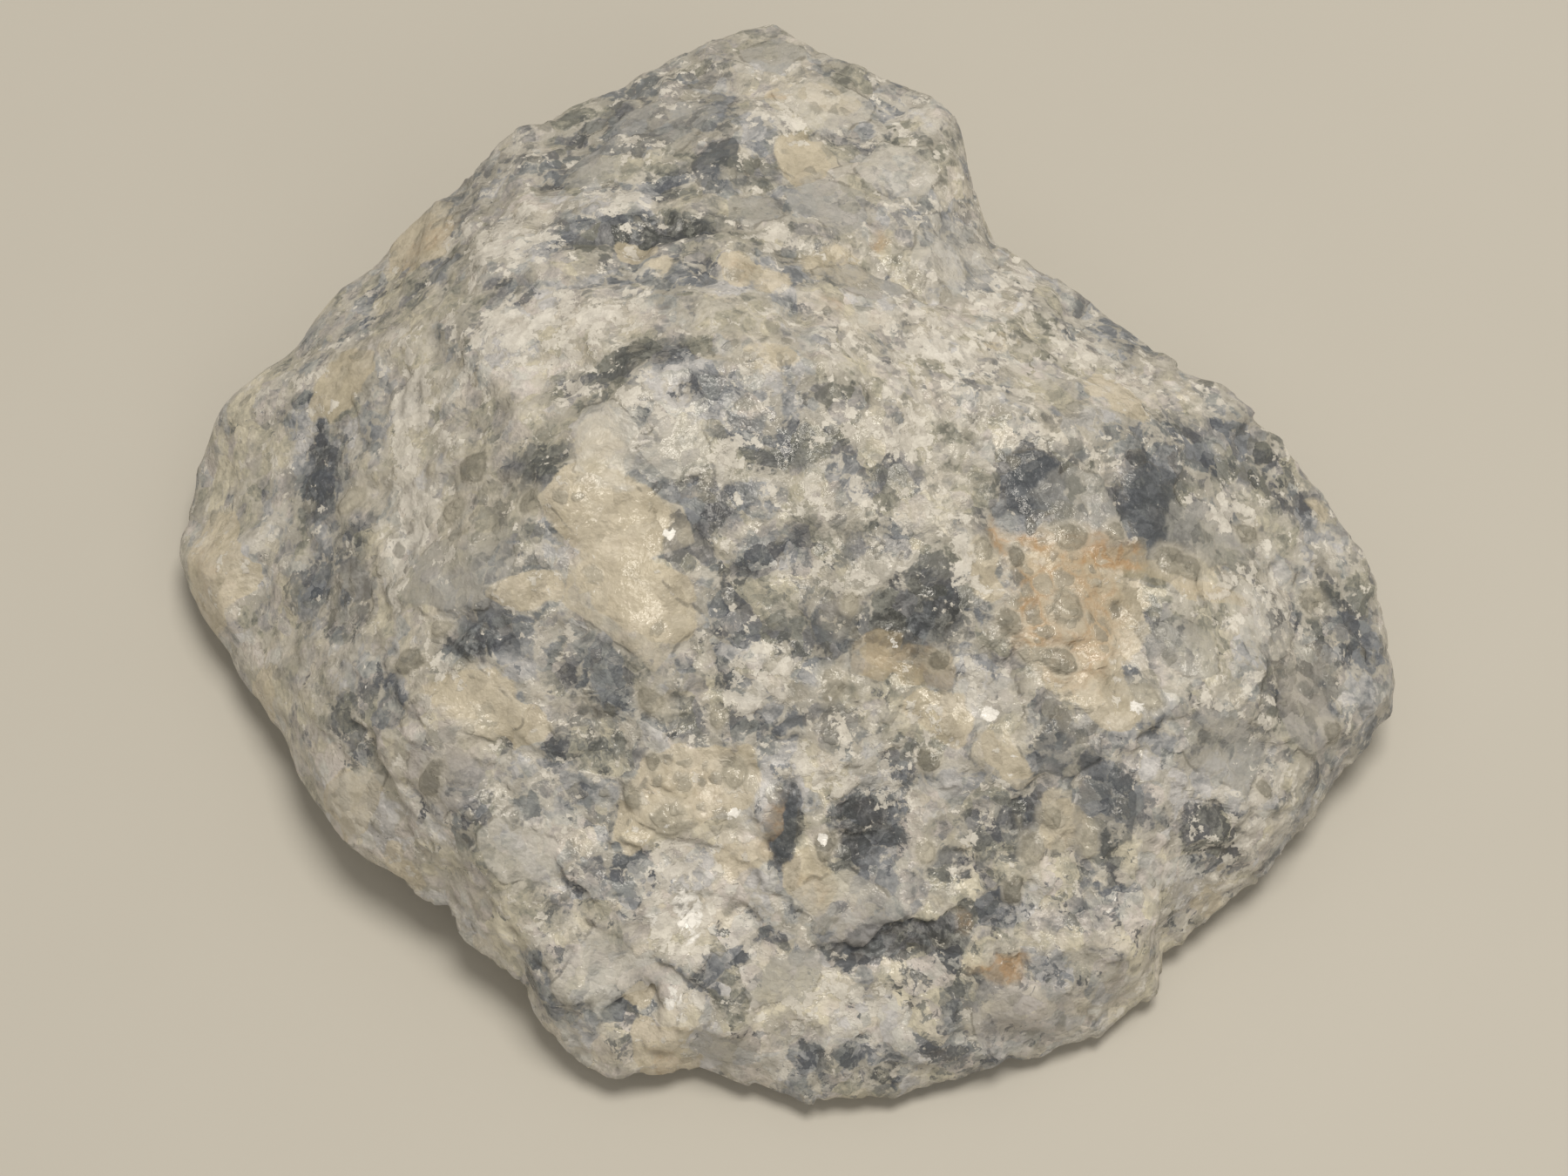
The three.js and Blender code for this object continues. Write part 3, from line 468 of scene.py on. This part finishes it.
# The finer relief: small blocks and knobs, crumbs standing on the crushed ground, and clear grains
# broken smooth and a little lower.
crushed = ease(0.25, 0.75, frost)
clear = ease(0.35, 0.7, slate)
grain = 0.6 * blocks(plain, 1.9, 26, 90) + 0.35 * blocks(plain, 0.9, 22, 95)
crumbs = 0.5 - np.abs(layered_noise(plain, 0.9, 301, 2))
finer = grain * (0.28 - 0.08 * clear) + 0.12 * crushed * crumbs - 0.10 * clear
finer = finer * (1 - 0.75 * plate) + 0.06 * plate
finer = finer + 0.14 * np.sqrt(np.maximum(0, 1 - round_way ** 2))
finer = finer * ease(0.2, 1.2, plain[..., 2])
finer = finer + (averaged(finer, 4) - finer) * worn
surface = ends_of(directions, coarse + finer)
surface[..., 2] = np.maximum(surface[..., 2], 0)

# Painted shade in the creases, which lie lower than the mean of what is round them.
crease_shade = np.clip((averaged(finer, 3) - finer) * 9, 0, 1)

# The square's border is one point, the pole underneath, so the faces there lose a corner.
MM = 1000  # in a metre
surface = (surface - BOX_MIDDLE) / MM
count = (CELLS + 1) ** 2
numbers = np.arange(count).reshape(CELLS + 1, CELLS + 1)
border = np.ones_like(numbers, dtype=bool)
border[1:-1, 1:-1] = False
pole = numbers[0, 0]
joined = np.where(border, pole, numbers)
corners = np.stack([joined[:-1, :-1], joined[1:, :-1], joined[1:, 1:], joined[:-1, 1:]], -1)
corners = corners.reshape(-1, 4)
on_pole = (corners == pole).sum(1)
quads = corners[on_pole < 2]
thirds = corners[on_pole == 2]
first = np.argmax((thirds == pole) & (np.roll(thirds, -1, axis=1) == pole), axis=1)
triangles = np.take_along_axis(thirds, (first[:, None] + np.array([0, 2, 3])) % 4, axis=1)
used = np.unique(np.concatenate([quads.ravel(), triangles.ravel()]))
renumber = np.full(count, -1)
renumber[used] = np.arange(len(used))

stone_mesh = bpy.data.meshes.new("calcite_lump")
stone_mesh.from_pydata(surface.reshape(-1, 3)[used], [],
                       renumber[quads].tolist() + renumber[triangles].tolist())
stone_mesh.polygons.foreach_set("use_smooth", np.ones(len(stone_mesh.polygons), dtype=bool))
grounds = {"slate": slate, "frost": frost, "cream": cream, "rust": rust, "beads": beads,
           "tone": tone, "crease_shade": crease_shade, "painted_glint": painted_glint, "plate_edge": plate_edge,
           "round_way": round_way, "round_tone": round_tone}
for name, field in grounds.items():
    layer = stone_mesh.attributes.new(name, "FLOAT", "POINT")
    layer.data.foreach_set("value", field.ravel()[used].astype(np.float32))
layer = stone_mesh.attributes.new("plate_colour", "FLOAT_VECTOR", "POINT")
layer.data.foreach_set("vector", plate_colour.reshape(-1, 3)[used].ravel().astype(np.float32))
stone_mesh.update()
stone = bpy.data.objects.new("calcite_lump", stone_mesh)
bpy.context.collection.objects.link(stone)


# Calcite's finish: cloudy blue-grey grains with a fibrous grain of their own, clear dark ones
# between them, crushed white crumbs, yellowish flakes and rust along the cracks. All of it is in
# millimetres on the stone's own coordinates.

def put(tree, kind, feeds=None, **settings):
    """Adds a node, sets its own settings, and fills or joins its inputs by name or number."""
    node = tree.nodes.new(kind)
    for name, value in settings.items():
        setattr(node, name, value)
    for name, value in (feeds or {}).items():
        if isinstance(value, bpy.types.NodeSocket):
            tree.links.new(value, node.inputs[name])
        else:
            node.inputs[name].default_value = value
    return node


def sums(tree, how, a, b=0.0, c=0.0):
    """One step of arithmetic on numbers."""
    return put(tree, "ShaderNodeMath", {0: a, 1: b, 2: c}, operation=how).outputs[0]


def blend(tree, share, under, over, how="MIX"):
    """Lays one colour over another by a share from 0 to 1."""
    node = put(tree, "ShaderNodeMix", {"Factor": share}, data_type="RGBA", blend_type=how)
    for name, value in ((6, under), (7, over)):
        if isinstance(value, bpy.types.NodeSocket):
            tree.links.new(value, node.inputs[name])
        else:
            node.inputs[name].default_value = (*value, 1)
    return node.outputs[2]


def between(tree, value, start, end, low=0.0, high=1.0):
    """Value read off a smooth step that runs from low at start to high at end."""
    return put(tree, "ShaderNodeMapRange", {0: value, 1: start, 2: end, 3: low, 4: high},
               interpolation_type="SMOOTHSTEP").outputs[0]


ragged = bpy.data.node_groups.new("ragged_edge", "ShaderNodeTree")
for name, kind, way in (("Tendency", "NodeSocketFloat", "INPUT"), ("Place", "NodeSocketVector", "INPUT"),
                        ("Size", "NodeSocketFloat", "INPUT"), ("Bite", "NodeSocketFloat", "INPUT"),
                        ("Edge", "NodeSocketFloat", "INPUT"), ("Mask", "NodeSocketFloat", "OUTPUT")):
    ragged.interface.new_socket(name, in_out=way, socket_type=kind)
given = ragged.nodes.new("NodeGroupInput").outputs
tear = put(ragged, "ShaderNodeTexNoise", {"Vector": given["Place"], "Scale": given["Size"],
                                          "Detail": 5.0, "Roughness": 0.68})
bitten = sums(ragged, "MULTIPLY_ADD", sums(ragged, "SUBTRACT", tear.outputs["Fac"], 0.5),
              given["Bite"], given["Tendency"])
upper = sums(ragged, "ADD", given["Edge"], 0.5)
lower = sums(ragged, "SUBTRACT", 0.5, given["Edge"])
ragged.links.new(between(ragged, bitten, lower, upper), ragged.nodes.new("NodeGroupOutput").inputs["Mask"])

calcite = bpy.data.materials.new("calcite")
calcite.use_nodes = True
tree = calcite.node_tree
shader = tree.nodes["Principled BSDF"]
place = put(tree, "ShaderNodeMapping", {0: tree.nodes.new("ShaderNodeTexCoord").outputs["Object"],
                                        "Scale": (MM, MM, MM)}).outputs[0]


def tendency(name):
    return put(tree, "ShaderNodeAttribute", attribute_name=name).outputs["Fac"]


def ragged_edge(name, size, bite, edge):
    group = put(tree, "ShaderNodeGroup", node_tree=ragged)
    for socket, value in (("Size", size), ("Bite", bite), ("Edge", edge)):
        group.inputs[socket].default_value = value
    tree.links.new(place, group.inputs["Place"])
    tree.links.new(tendency(name), group.inputs["Tendency"])
    return group.outputs["Mask"]


MIDDLE = (0.5, 0.5, 0.5)  # a noise's own mean


def vectors(how, a, b, c=(0, 0, 0)):
    """One step of arithmetic on places or ways."""
    return put(tree, "ShaderNodeVectorMath", {0: a, 1: b, 2: c}, operation=how)


def wandering(size, reach):
    """Places pushed about by noise, so that the cells drawn on them have crooked edges."""
    push = put(tree, "ShaderNodeTexNoise", {"Vector": place, "Scale": size, "Detail": 3.0})
    centred = vectors("SUBTRACT", push.outputs["Color"], MIDDLE).outputs[0]
    return vectors("MULTIPLY_ADD", centred, (reach, reach, reach), place).outputs[0]


def noise(where, scale, detail=4.0, roughness=0.6, distortion=0.0):
    return put(tree, "ShaderNodeTexNoise", {"Vector": where, "Scale": scale, "Detail": detail,
               "Roughness": roughness, "Distortion": distortion}).outputs["Fac"]


def cells(where, scale):
    """Grains: three numbers of each grain's own, the distance to its edge, its slant, and the
    distance to its middle."""
    feeds = {"Vector": where, "Scale": scale}
    whole = put(tree, "ShaderNodeTexVoronoi", feeds)
    edge = put(tree, "ShaderNodeTexVoronoi", feeds, feature="DISTANCE_TO_EDGE")
    numbers = put(tree, "ShaderNodeSeparateColor", {0: whole.outputs["Color"]}).outputs
    way = vectors("SUBTRACT", whole.outputs["Color"], MIDDLE).outputs[0]
    off = vectors("SUBTRACT", where, whole.outputs["Position"]).outputs[0]
    slope = vectors("DOT_PRODUCT", way, off).outputs["Value"]
    return numbers, edge.outputs["Distance"], slope, whole.outputs["Distance"]


def mixture(start, *parts):
    """The start, plus each part's departure from a half times its share."""
    for part, share in parts:
        start = sums(tree, "MULTIPLY_ADD", sums(tree, "SUBTRACT", part, 0.5), share, start)
    return start


def scale_of(value, stops):
    """Value read off a scale of colours, from its first stop to its last."""
    node = put(tree, "ShaderNodeValToRGB", {0: value})
    marks = node.color_ramp.elements
    marks[0].position, marks[1].position = stops[0][0], stops[-1][0]
    marks[0].color, marks[1].color = (*stops[0][1], 1), (*stops[-1][1], 1)
    for at, shade in stops[1:-1]:
        marks.new(at).color = (*shade, 1)
    return node.outputs[0]


def all_of(*masks):
    """Where every mask holds: their product."""
    total = masks[0]
    for mask in masks[1:]:
        total = sums(tree, "MULTIPLY", total, mask)
    return total


# The grains of three sizes and the noises, in cells or waves to a millimetre.
crooked, uneven, knots = wandering(0.7, 1.6), wandering(2.6, 0.42), wandering(1.3, 0.9)
own, own_edge, own_slope, _ = cells(crooked, 0.42)
bit, bit_edge, bit_slope, _ = cells(uneven, 1.0)
chip, _, chip_slope, _ = cells(uneven, 2.2)
kind, bead_edge, _, bead_middle = cells(knots, 0.95)
turned = put(tree, "ShaderNodeVectorRotate", {"Vector": crooked, "Axis": (0.3, 0.25, 0.92),
             "Angle": sums(tree, "MULTIPLY", own[1], 6.28)})
drawn = put(tree, "ShaderNodeMapping", {0: turned.outputs[0], "Scale": (0.8, 3.2, 1.6)})
fibres = noise(drawn.outputs[0], 1.0, 3.0, 0.6)
dust = noise(place, 4.0, 4.0, 0.7)
cloud = noise(place, 0.5, 5.0, 0.65, 0.3)
flecks = noise(place, 1.1, 4.0, 0.62, 0.15)
veining = noise(place, 0.8, 3.0, 0.6)
broken = noise(crooked, 0.9, 5.0, 0.72, 0.4)

# Each grain has a tone and a hue of its own, and pale crushed stone of varying width round it.
GREYS = [(0.14, (0.18, 0.192, 0.20)), (0.32, (0.31, 0.32, 0.32)), (0.46, (0.44, 0.44, 0.425)),
         (0.62, (0.59, 0.578, 0.545)), (0.80, (0.74, 0.72, 0.68))]
TINTS = [(0.30, (1.0, 0.968, 0.84)), (0.42, (1.0, 0.963, 0.90)), (0.52, (1.0, 0.96, 0.975)),
         (0.60, (0.968, 0.99, 0.988)), (0.70, (0.955, 0.973, 1.045))]
BAND_DULL, BAND_PALE = (0.46, 0.44, 0.385), (0.65, 0.625, 0.565)
# the tone brings in the painted light on the front and the left flank and the painted shade at the back left
level = mixture(sums(tree, "MULTIPLY_ADD", tendency("tone"), 0.46, 0.42), (own[0], 0.34), (bit[0], 0.22),
                (chip[0], 0.18), (fibres, 0.65), (dust, 0.34), (cloud, 0.7), (flecks, 0.55))
hue = mixture(noise(place, 0.22, 3.0, 0.6), (own[2], 0.45), (bit[1], 0.30))
grey, tint = scale_of(level, GREYS), scale_of(hue, TINTS)
base = blend(tree, 1.0, grey, tint, "MULTIPLY")
width = mixture(sums(tree, "MULTIPLY_ADD", tendency("slate"), -0.12, 0.06), (veining, 0.9), (dust, 0.25))
gap = sums(tree, "MINIMUM", sums(tree, "MULTIPLY", own_edge, 1.3), sums(tree, "ADD", bit_edge, 0.05))
band = between(tree, sums(tree, "SUBTRACT", width, gap), -0.06, 0.05)
band_tone = blend(tree, between(tree, cloud, 0.4, 0.6), BAND_DULL, BAND_PALE)

# Clear grains: broken patches, streaked, and darkest in their hearts.
CLEAR_DARK, CLEAR_LIGHT, HEART_DARK = (0.092, 0.104, 0.122), (0.265, 0.282, 0.298), (0.050, 0.057, 0.066)
slate_part = mixture(sums(tree, "MULTIPLY_ADD", tendency("slate"), 0.55, -0.02), (own[0], -0.25),
                     (bit[2], 0.25), (broken, 2.0), (chip[1], 0.16), (fibres, 0.9), (dust, 0.3))
slate_mask = between(tree, slate_part, 0.28, 0.44)
slate_tone = blend(tree, between(tree, mixture(0.5, (dust, 0.8), (fibres, 0.8), (bit[0], 0.5)), 0.25, 0.8),
                   CLEAR_DARK, CLEAR_LIGHT)
in_heart = all_of(between(tree, tendency("slate"), 0.8, 1.5, 0.0, 0.95),
                  between(tree, mixture(0.5, (fibres, 2.0), (dust, 1.2)), 0.85, 0.15))
slate_tone = blend(tree, in_heart, slate_tone, HEART_DARK)
slate_tone = blend(tree, 0.9, slate_tone, tint, "MULTIPLY")
colour = blend(tree, all_of(slate_mask, 0.92), base, slate_tone)
colour = blend(tree, all_of(band, 0.75), colour, band_tone)

# Yellowish flakes, and the plates with a dark line along parts of the edge: partly a crack, partly painted
# shade at the raised plate's edge.
CREAM_DEEP, CREAM_PALE, CRACK_AND_EDGE_SHADE = (0.54, 0.48, 0.355), (0.76, 0.685, 0.54), (0.12, 0.115, 0.10)
cream_share = mixture(0.5, (cloud, 0.8), (dust, 0.5), (bit[0], 0.35), (fibres, 0.5))
cream_tone = blend(tree, between(tree, cream_share, 0.2, 0.8), CREAM_DEEP, CREAM_PALE)
colour = blend(tree, all_of(ragged_edge("cream", 1.0, 0.7, 0.08), 0.72), colour, cream_tone)
plate_tone = put(tree, "ShaderNodeAttribute", attribute_name="plate_colour").outputs["Vector"]
plate_share = mixture(0.48, (cloud, 1.4), (bit[0], 0.4), (fibres, 0.5))
past_edge = mixture(tendency("plate_edge"), (dust, 0.12), (flecks, 0.3))
plate_mask = between(tree, past_edge, 0.05, -0.05)
colour = blend(tree, all_of(plate_mask, plate_share), colour, plate_tone)
# the dark edge line: partly crack, partly painted shade of the raised plate
crack_and_edge_shade = between(tree, sums(tree, "ABSOLUTE", sums(tree, "SUBTRACT", past_edge, 0.05)), 0.10, 0.02)
colour = blend(tree, all_of(crack_and_edge_shade, between(tree, veining, 0.48, 0.58), 0.5), colour, CRACK_AND_EDGE_SHADE)

# Crushed white crumbs: the more crushed the ground, the more of it they cover. Painted shade in the creases.
FROST_DULL, FROST_WHITE, PAINTED_CREASE_SHADE = (0.66, 0.634, 0.582), (0.82, 0.798, 0.742), (0.19, 0.17, 0.14)
cover = sums(tree, "MULTIPLY_ADD", tendency("frost"), 0.62, 0.13)
cover = mixture(sums(tree, "MULTIPLY_ADD", tendency("slate"), -0.08, cover), (flecks, 2.6), (fibres, 0.8),
                (dust, 0.2), (chip[2], 0.45), (cloud, 0.4))
frost_mask = between(tree, sums(tree, "MULTIPLY_ADD", plate_mask, -0.22, cover), 0.48, 0.60)
frost_tone = blend(tree, between(tree, mixture(0.5, (dust, 0.7), (chip[0], 0.4)), 0.3, 0.7),
                   FROST_DULL, FROST_WHITE)
colour = blend(tree, all_of(frost_mask, 0.85), colour, frost_tone)
# painted shade: the creases darkened in the colour
colour = blend(tree, all_of(tendency("crease_shade"), 0.25), colour, PAINTED_CREASE_SHADE)

# Rust, and round glassy grains: low domes, olive or grey, with pale or rusty stone between them.
BETWEEN_BEADS, BEAD_RIM = (0.70, 0.64, 0.52), (0.20, 0.19, 0.16)
BEAD_DARK, BEAD_PALE = (0.17, 0.172, 0.155), (0.54, 0.515, 0.44)
STAIN_DEEP, STAIN_PALE, RUST_LINE = (0.42, 0.31, 0.19), (0.60, 0.46, 0.295), (0.50, 0.31, 0.155)
bead_size = sums(tree, "MULTIPLY_ADD", kind[0], 0.40, 0.22)
part_way = sums(tree, "DIVIDE", bead_middle, bead_size)
picked = between(tree, sums(tree, "SUBTRACT", tendency("beads"), kind[1]), -0.12, -0.06)
round_part = all_of(between(tree, part_way, 1.25, 0.6), between(tree, bead_edge, 0.01, 0.14))
within = all_of(round_part, picked)
outside = sums(tree, "SUBTRACT", 1.0, round_part)
colour = blend(tree, all_of(outside, between(tree, tendency("beads"), 0.2, 0.7), 0.22), colour, BETWEEN_BEADS)
rust_mask = all_of(ragged_edge("rust", 1.4, 1.1, 0.35), between(tree, tendency("slate"), 1.8, 1.2))
deepness = between(tree, sums(tree, "ADD", tendency("rust"), cloud), 0.9, 2.0, 0.3, 0.85)
colour = blend(tree, all_of(rust_mask, deepness), colour, blend(tree, dust, STAIN_DEEP, STAIN_PALE))
lines = between(tree, mixture(bead_edge, (dust, 0.25), (cloud, 0.3)), 0.16, 0.0)
strongest = between(tree, tendency("rust"), 0.5, 1.1, 0.2, 0.65)
colour = blend(tree, all_of(rust_mask, lines, strongest), colour, RUST_LINE)
bead_tone = blend(tree, mixture(kind[2], (dust, 0.8)), BEAD_DARK, BEAD_PALE)
colour = blend(tree, all_of(within, 0.55), colour, bead_tone)
colour = blend(tree, all_of(between(tree, part_way, 0.5, 0.9), within, 0.2), colour, BEAD_RIM)

# The round grains that are big enough to be told apart, each in a pale ring of its own.
HALO, GLASS_DARK, GLASS_PALE = (0.60, 0.565, 0.48), (0.12, 0.117, 0.092), (0.58, 0.545, 0.45)
GLASS_RIM = (0.12, 0.115, 0.095)
out = mixture(tendency("round_way"), (dust, 0.25), (flecks, 0.5))
round_mask = between(tree, out, 1.15, 0.88)
glassiness = mixture(tendency("round_tone"), (out, 0.35), (dust, 0.8), (chip[0], 0.4), (cloud, 0.8))
colour = blend(tree, between(tree, out, 1.7, 1.1, 0.0, 0.45), colour, HALO)
colour = blend(tree, all_of(round_mask, 0.62), colour, blend(tree, glassiness, GLASS_DARK, GLASS_PALE))
colour = blend(tree, all_of(between(tree, out, 0.66, 0.86), round_mask, 0.22), colour, GLASS_RIM)

# Painted highlights: cleavage faces that flash, painted near white and white into the colour.
PAINTED_GLINT_COLOUR, PAINTED_GLARE_COLOUR = (0.84, 0.83, 0.80), (1.0, 0.99, 0.96)
painted_sparkle = sums(tree, "SUBTRACT", mixture(0.35, (fibres, 2.0), (chip[0], 0.7), (dust, 0.8)), 0.6)
painted_glint = sums(tree, "MULTIPLY_ADD", between(tree, tendency("painted_glint"), 0.1, 0.8), 0.9, painted_sparkle)
colour = blend(tree, between(tree, painted_glint, 0.42, 0.56), colour, PAINTED_GLINT_COLOUR)
colour = blend(tree, between(tree, painted_glint, 0.66, 0.76), colour, PAINTED_GLARE_COLOUR)
tree.links.new(colour, shader.inputs["Base Color"])

# Crushed stone is dull, the round grains are glossy, and every bit has a gloss of its own.
gloss = sums(tree, "MULTIPLY_ADD", bit[1], 0.40, 0.15)
gloss = sums(tree, "MULTIPLY_ADD", frost_mask, 0.30, gloss)
gloss = sums(tree, "MULTIPLY_ADD", sums(tree, "MAXIMUM", within, round_mask), -0.20, gloss)
tree.links.new(sums(tree, "MAXIMUM", gloss, 0.12), shader.inputs["Roughness"])

dome = sums(tree, "SUBTRACT", 1.0, sums(tree, "MULTIPLY", part_way, part_way))
dome = all_of(sums(tree, "SQRT", sums(tree, "MAXIMUM", dome, 0.0)), picked)
height = 0.0
for part, rise in ((dust, 0.15), (fibres, 0.18), (own_slope, 1.1), (bit_slope, 1.5), (chip_slope, 1.0),
                   (frost_mask, 0.10), (dome, 0.3)):
    height = sums(tree, "MULTIPLY_ADD", part, rise, height)
bump = put(tree, "ShaderNodeBump", {"Height": height, "Strength": 0.6, "Distance": 0.0004})
tree.links.new(bump.outputs[0], shader.inputs["Normal"])
shader.inputs["IOR"].default_value = 1.58

stone_mesh.materials.append(calcite)
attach(stone, "root")
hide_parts("calcite_stone")


# ---------------------------------------------------------------------------------------------
# The table: a plain pale board, matt and a little warm, with the faintest cloudiness in it.
# ---------------------------------------------------------------------------------------------

table_mesh = bpy.data.meshes.new("table_top")
HALF_BOARD = 1.5  # metres
table_mesh.from_pydata([(x * HALF_BOARD, y * HALF_BOARD, 0) for x, y in ((-1, -1), (1, -1), (1, 1), (-1, 1))],
                       [], [(0, 1, 2, 3)])
table_top = bpy.data.objects.new("table_top", table_mesh)
bpy.context.collection.objects.link(table_top)
board = bpy.data.materials.new("pale_board")
board.use_nodes = True
BOARD_DULL, BOARD_PALE = (0.555, 0.535, 0.485), (0.585, 0.565, 0.515)
board_tree = board.node_tree
board_shader = board_tree.nodes["Principled BSDF"]
on_board = board_tree.nodes.new("ShaderNodeTexCoord").outputs["Object"]
clouding = put(board_tree, "ShaderNodeTexNoise", {"Vector": on_board, "Scale": 45.0, "Detail": 3.0})
board_colour = blend(board_tree, clouding.outputs["Fac"], BOARD_DULL, BOARD_PALE)
board_tree.links.new(board_colour, board_shader.inputs["Base Color"])
board_shader.inputs["Roughness"].default_value = 0.6
table_mesh.materials.append(board)


# ---------------------------------------------------------------------------------------------
# Light and camera: a large soft light overhead and behind, a weak one in front, and a close view
# from high up.
# ---------------------------------------------------------------------------------------------

WARM = (1.0, 0.935, 0.83)
STONE_MIDDLE = Vector((0, 0, 0.01))


def soft_light(name, where, size, power):
    """A round warm area light that looks at the stone."""
    data = bpy.data.lights.new(name, "AREA")
    data.shape, data.size, data.energy, data.color = "DISK", size, power, WARM
    lamp = bpy.data.objects.new(name, data)
    bpy.context.collection.objects.link(lamp)
    lamp.location = where
    lamp.rotation_euler = (STONE_MIDDLE - Vector(where)).to_track_quat("-Z", "Y").to_euler()


soft_light("overhead", (0.055, 0.05, 0.49), 0.20, 1.50)
soft_light("front", (0.18, -0.36, 0.40), 0.40, 0.27)
room = bpy.data.worlds.new("room")
room.use_nodes = True
room_light = room.node_tree.nodes["Background"]
room_light.inputs["Color"].default_value = (*WARM, 1)
room_light.inputs["Strength"].default_value = 0.33
bpy.context.scene.world = room
bpy.context.scene.view_settings.view_transform = "Standard"

ELEVATION = np.radians(64)
DISTANCE = 0.170
FRAME_WIDTH = 0.078  # metres seen across the frame at that distance
SENSOR_WIDTH = 36
aim = Vector((0, -0.0038, 0.008)) - Vector(BOX_MIDDLE / MM)
camera = bpy.data.cameras.new("camera")
camera.sensor_width = SENSOR_WIDTH
camera.lens = SENSOR_WIDTH * DISTANCE / FRAME_WIDTH
camera.clip_start = 0.01
viewer = bpy.data.objects.new("camera", camera)
bpy.context.collection.objects.link(viewer)
viewer.location = aim + DISTANCE * Vector((0, -np.cos(ELEVATION), np.sin(ELEVATION)))
viewer.rotation_euler = (np.pi / 2 - ELEVATION, 0, 0)
bpy.context.scene.camera = viewer
